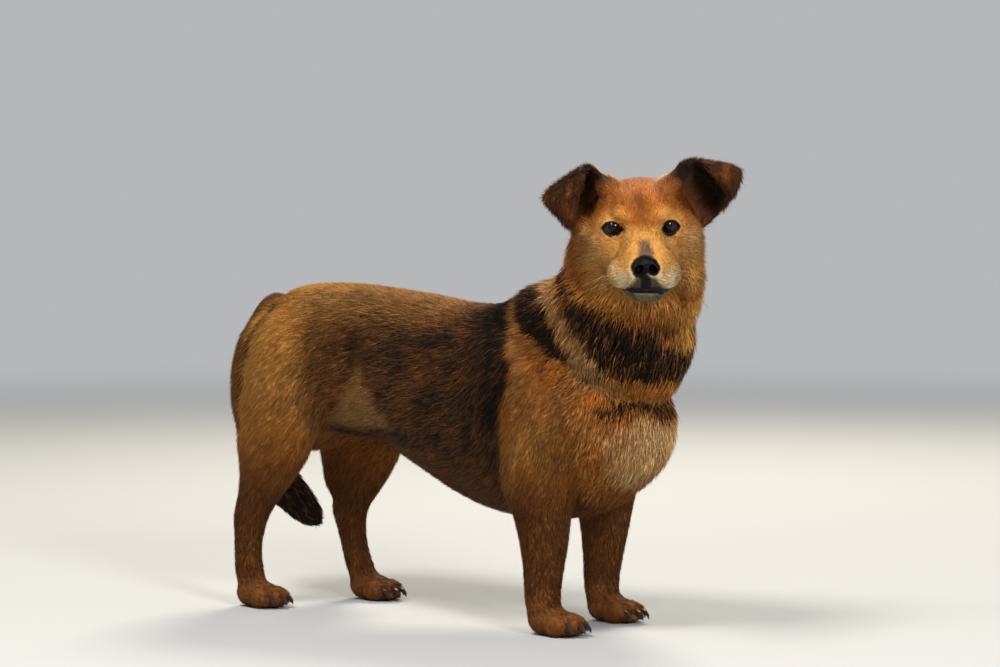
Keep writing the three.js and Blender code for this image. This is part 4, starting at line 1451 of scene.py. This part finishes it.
# lips: a dark upper edge and a thinner lower one
lipCurve = spaced(lipLine, 60)
lipTaper = ease(0, 0.16, np.linspace(0, 1, 60)) * ease(1, 0.84, np.linspace(0, 1, 60))
for name, drop, radius, inside in (("lipUpper", 0.9, 1.25, 0.5), ("lipLower", -1.3, 0.95, 0.9)):
    seat = onSkin(lipCurve + np.array((0, 0, drop)))
    inward = slopeOf(coatHeight, seat, 0.002) * inside / 1000
    sweep(name, seat - inward, radius / 1000 * (0.25 + 0.75 * lipTaper), 8, rimSkin, "nose_leather")
report("nose and lips")

# whiskers: single stiff hairs from the lip pads
whiskers = {"length": (24, 40), "root": 0.16, "tip": 0.04, "steps": 8}
whiskerLook = Look("whiskerHair", {"Roughness": 0.4})
tint = whiskerLook.mix(whiskerLook.noise(60.0), colour(60, 48, 38), colour(196, 178, 150))
whiskerLook.feed({"Base Color": tint})
whiskerRoots = [(58, 26, -30), (54, 28, -35), (50, 29.5, -40), (60, 24, -38), (46, 31, -33)]
points, faces = [], []
for side, root in itertools.product((-1, 1), whiskerRoots):
    start = np.array(root) * (1, side, 1) + rng.normal(0, 0.8, 3)
    reach = rng.uniform(*whiskers["length"])
    way = unit(np.array((-0.1, side * 1.0, -0.12)) + rng.normal(0, 0.16, 3))
    sag = np.array((-0.35, 0, -0.3)) + rng.normal(0, 0.08, 3)
    s = np.linspace(0, 1, whiskers["steps"])[:, None]
    line = fromHead(start + way * reach * s + sag * reach * s**2 - way * 2)
    crosswise = unit(np.cross(way, (0, 0, 1))) @ headTurn.T
    above = np.cross(way @ headTurn.T, crosswise)
    thick = (whiskers["root"] + (whiskers["tip"] - whiskers["root"]) * s) / 1000
    turned = [math.cos(turn) * crosswise + math.sin(turn) * above for turn in (0.5, 2.6, 4.7)]
    ring = np.stack([line + thick * corner for corner in turned], 1)
    first = 3 * whiskers["steps"] * len(points)
    end = first + 3 * (whiskers["steps"] - 1)
    points.append(ring.reshape(-1, 3))
    faces += [*sleeve(first, whiskers["steps"]), (first, first + 2, first + 1), (end, end + 1, end + 2)]
finishPiece(meshFrom("whiskers", np.concatenate(points), np.array(faces)), whiskerLook, "coat_face")

# claws: the frame's own horns, rounded
horn = Look("clawHorn", {"Roughness": 0.42, "Specular IOR Level": 0.3})
horn.feed({"Base Color": horn.mix(horn.noise(220.0, 3.0), colour(14, 11, 9), colour(52, 41, 34))})
for name, node in nodes.items():
    if "claw" in name:
        node.data.materials.clear()
        node.data.materials.append(horn.material)
        for face in node.data.polygons:
            face.use_smooth = True
        edges = node.modifiers.new("rounded", "BEVEL")
        edges.width, edges.segments, edges.limit_method = 0.0009, 3, "NONE"
report("claws and whiskers")

# studio: a big soft key over the camera's left, a fill, a light from behind for the coat's edge, a small one
# for the eyes, and a pale floor under an even sky
studio = {"aim": (0.05, 0, 0.25), "strength": 0.5, "tint": (0.93, 0.95, 0.97, 1), "near": 1.6, "far": 6.0}
lamps = {
    "glint": {"at": (1.0, -2.7, 1.5), "size": 0.32, "power": 14, "tint": (1, 1, 1)},
    "key": {"at": (0.0, -1.7, 2.9), "size": 0.9, "power": 120, "tint": (1, 0.96, 0.90)},
    "fill": {"at": (2.8, -1.6, 1.6), "size": 0.8, "power": 108, "tint": (0.98, 0.98, 1)},
    "rim": {"at": (-0.9, 2.2, 2.6), "size": 1.0, "power": 140, "tint": (1, 0.93, 0.76)},
}
for name, lamp in lamps.items():
    light = bpy.data.lights.new(name, "AREA")
    light.size, light.energy, light.color = lamp["size"], lamp["power"], lamp["tint"]
    holder = bpy.data.objects.new(name, light)
    scene.collection.objects.link(holder)
    holder.location = lamp["at"]
    aim = np.array(studio["aim"]) - np.array(lamp["at"])
    holder.rotation_euler = (math.acos(-aim[2] / np.linalg.norm(aim)), 0, math.atan2(-aim[0], aim[1]))

world = bpy.data.worlds.new("studio")
world.use_nodes = True
background = world.node_tree.nodes["Background"].inputs
background["Color"].default_value = studio["tint"]
background["Strength"].default_value = studio["strength"]
scene.world = world
scene.view_settings.view_transform = "Standard"

bpy.ops.mesh.primitive_circle_add(vertices=96, radius=40, fill_type="NGON")
floor = bpy.context.object
floor.name = "floor"
# the floor turns into the backdrop's own tone away from the dog, so no horizon shows
paleFloor = Look("paleFloor", {
    "Roughness": 0.9, "Specular IOR Level": 0.0, "Emission Strength": studio["strength"],
})
onFloor = paleFloor.node("ShaderNodeNewGeometry", {}, {}, "Position")
out = paleFloor.node("ShaderNodeVectorMath", {"operation": "LENGTH"}, {0: onFloor}, "Value")
easing = {"interpolation_type": "SMOOTHERSTEP"}
far = paleFloor.node("ShaderNodeMapRange", easing, {0: out, 1: studio["near"], 2: studio["far"]})
paleFloor.feed({
    "Base Color": paleFloor.mix(far, (0.35, 0.35, 0.35, 1), (0, 0, 0, 1)),
    "Emission Color": paleFloor.mix(far, (0, 0, 0, 1), studio["tint"]),
})
floor.data.materials.append(paleFloor.material)

report("scene")
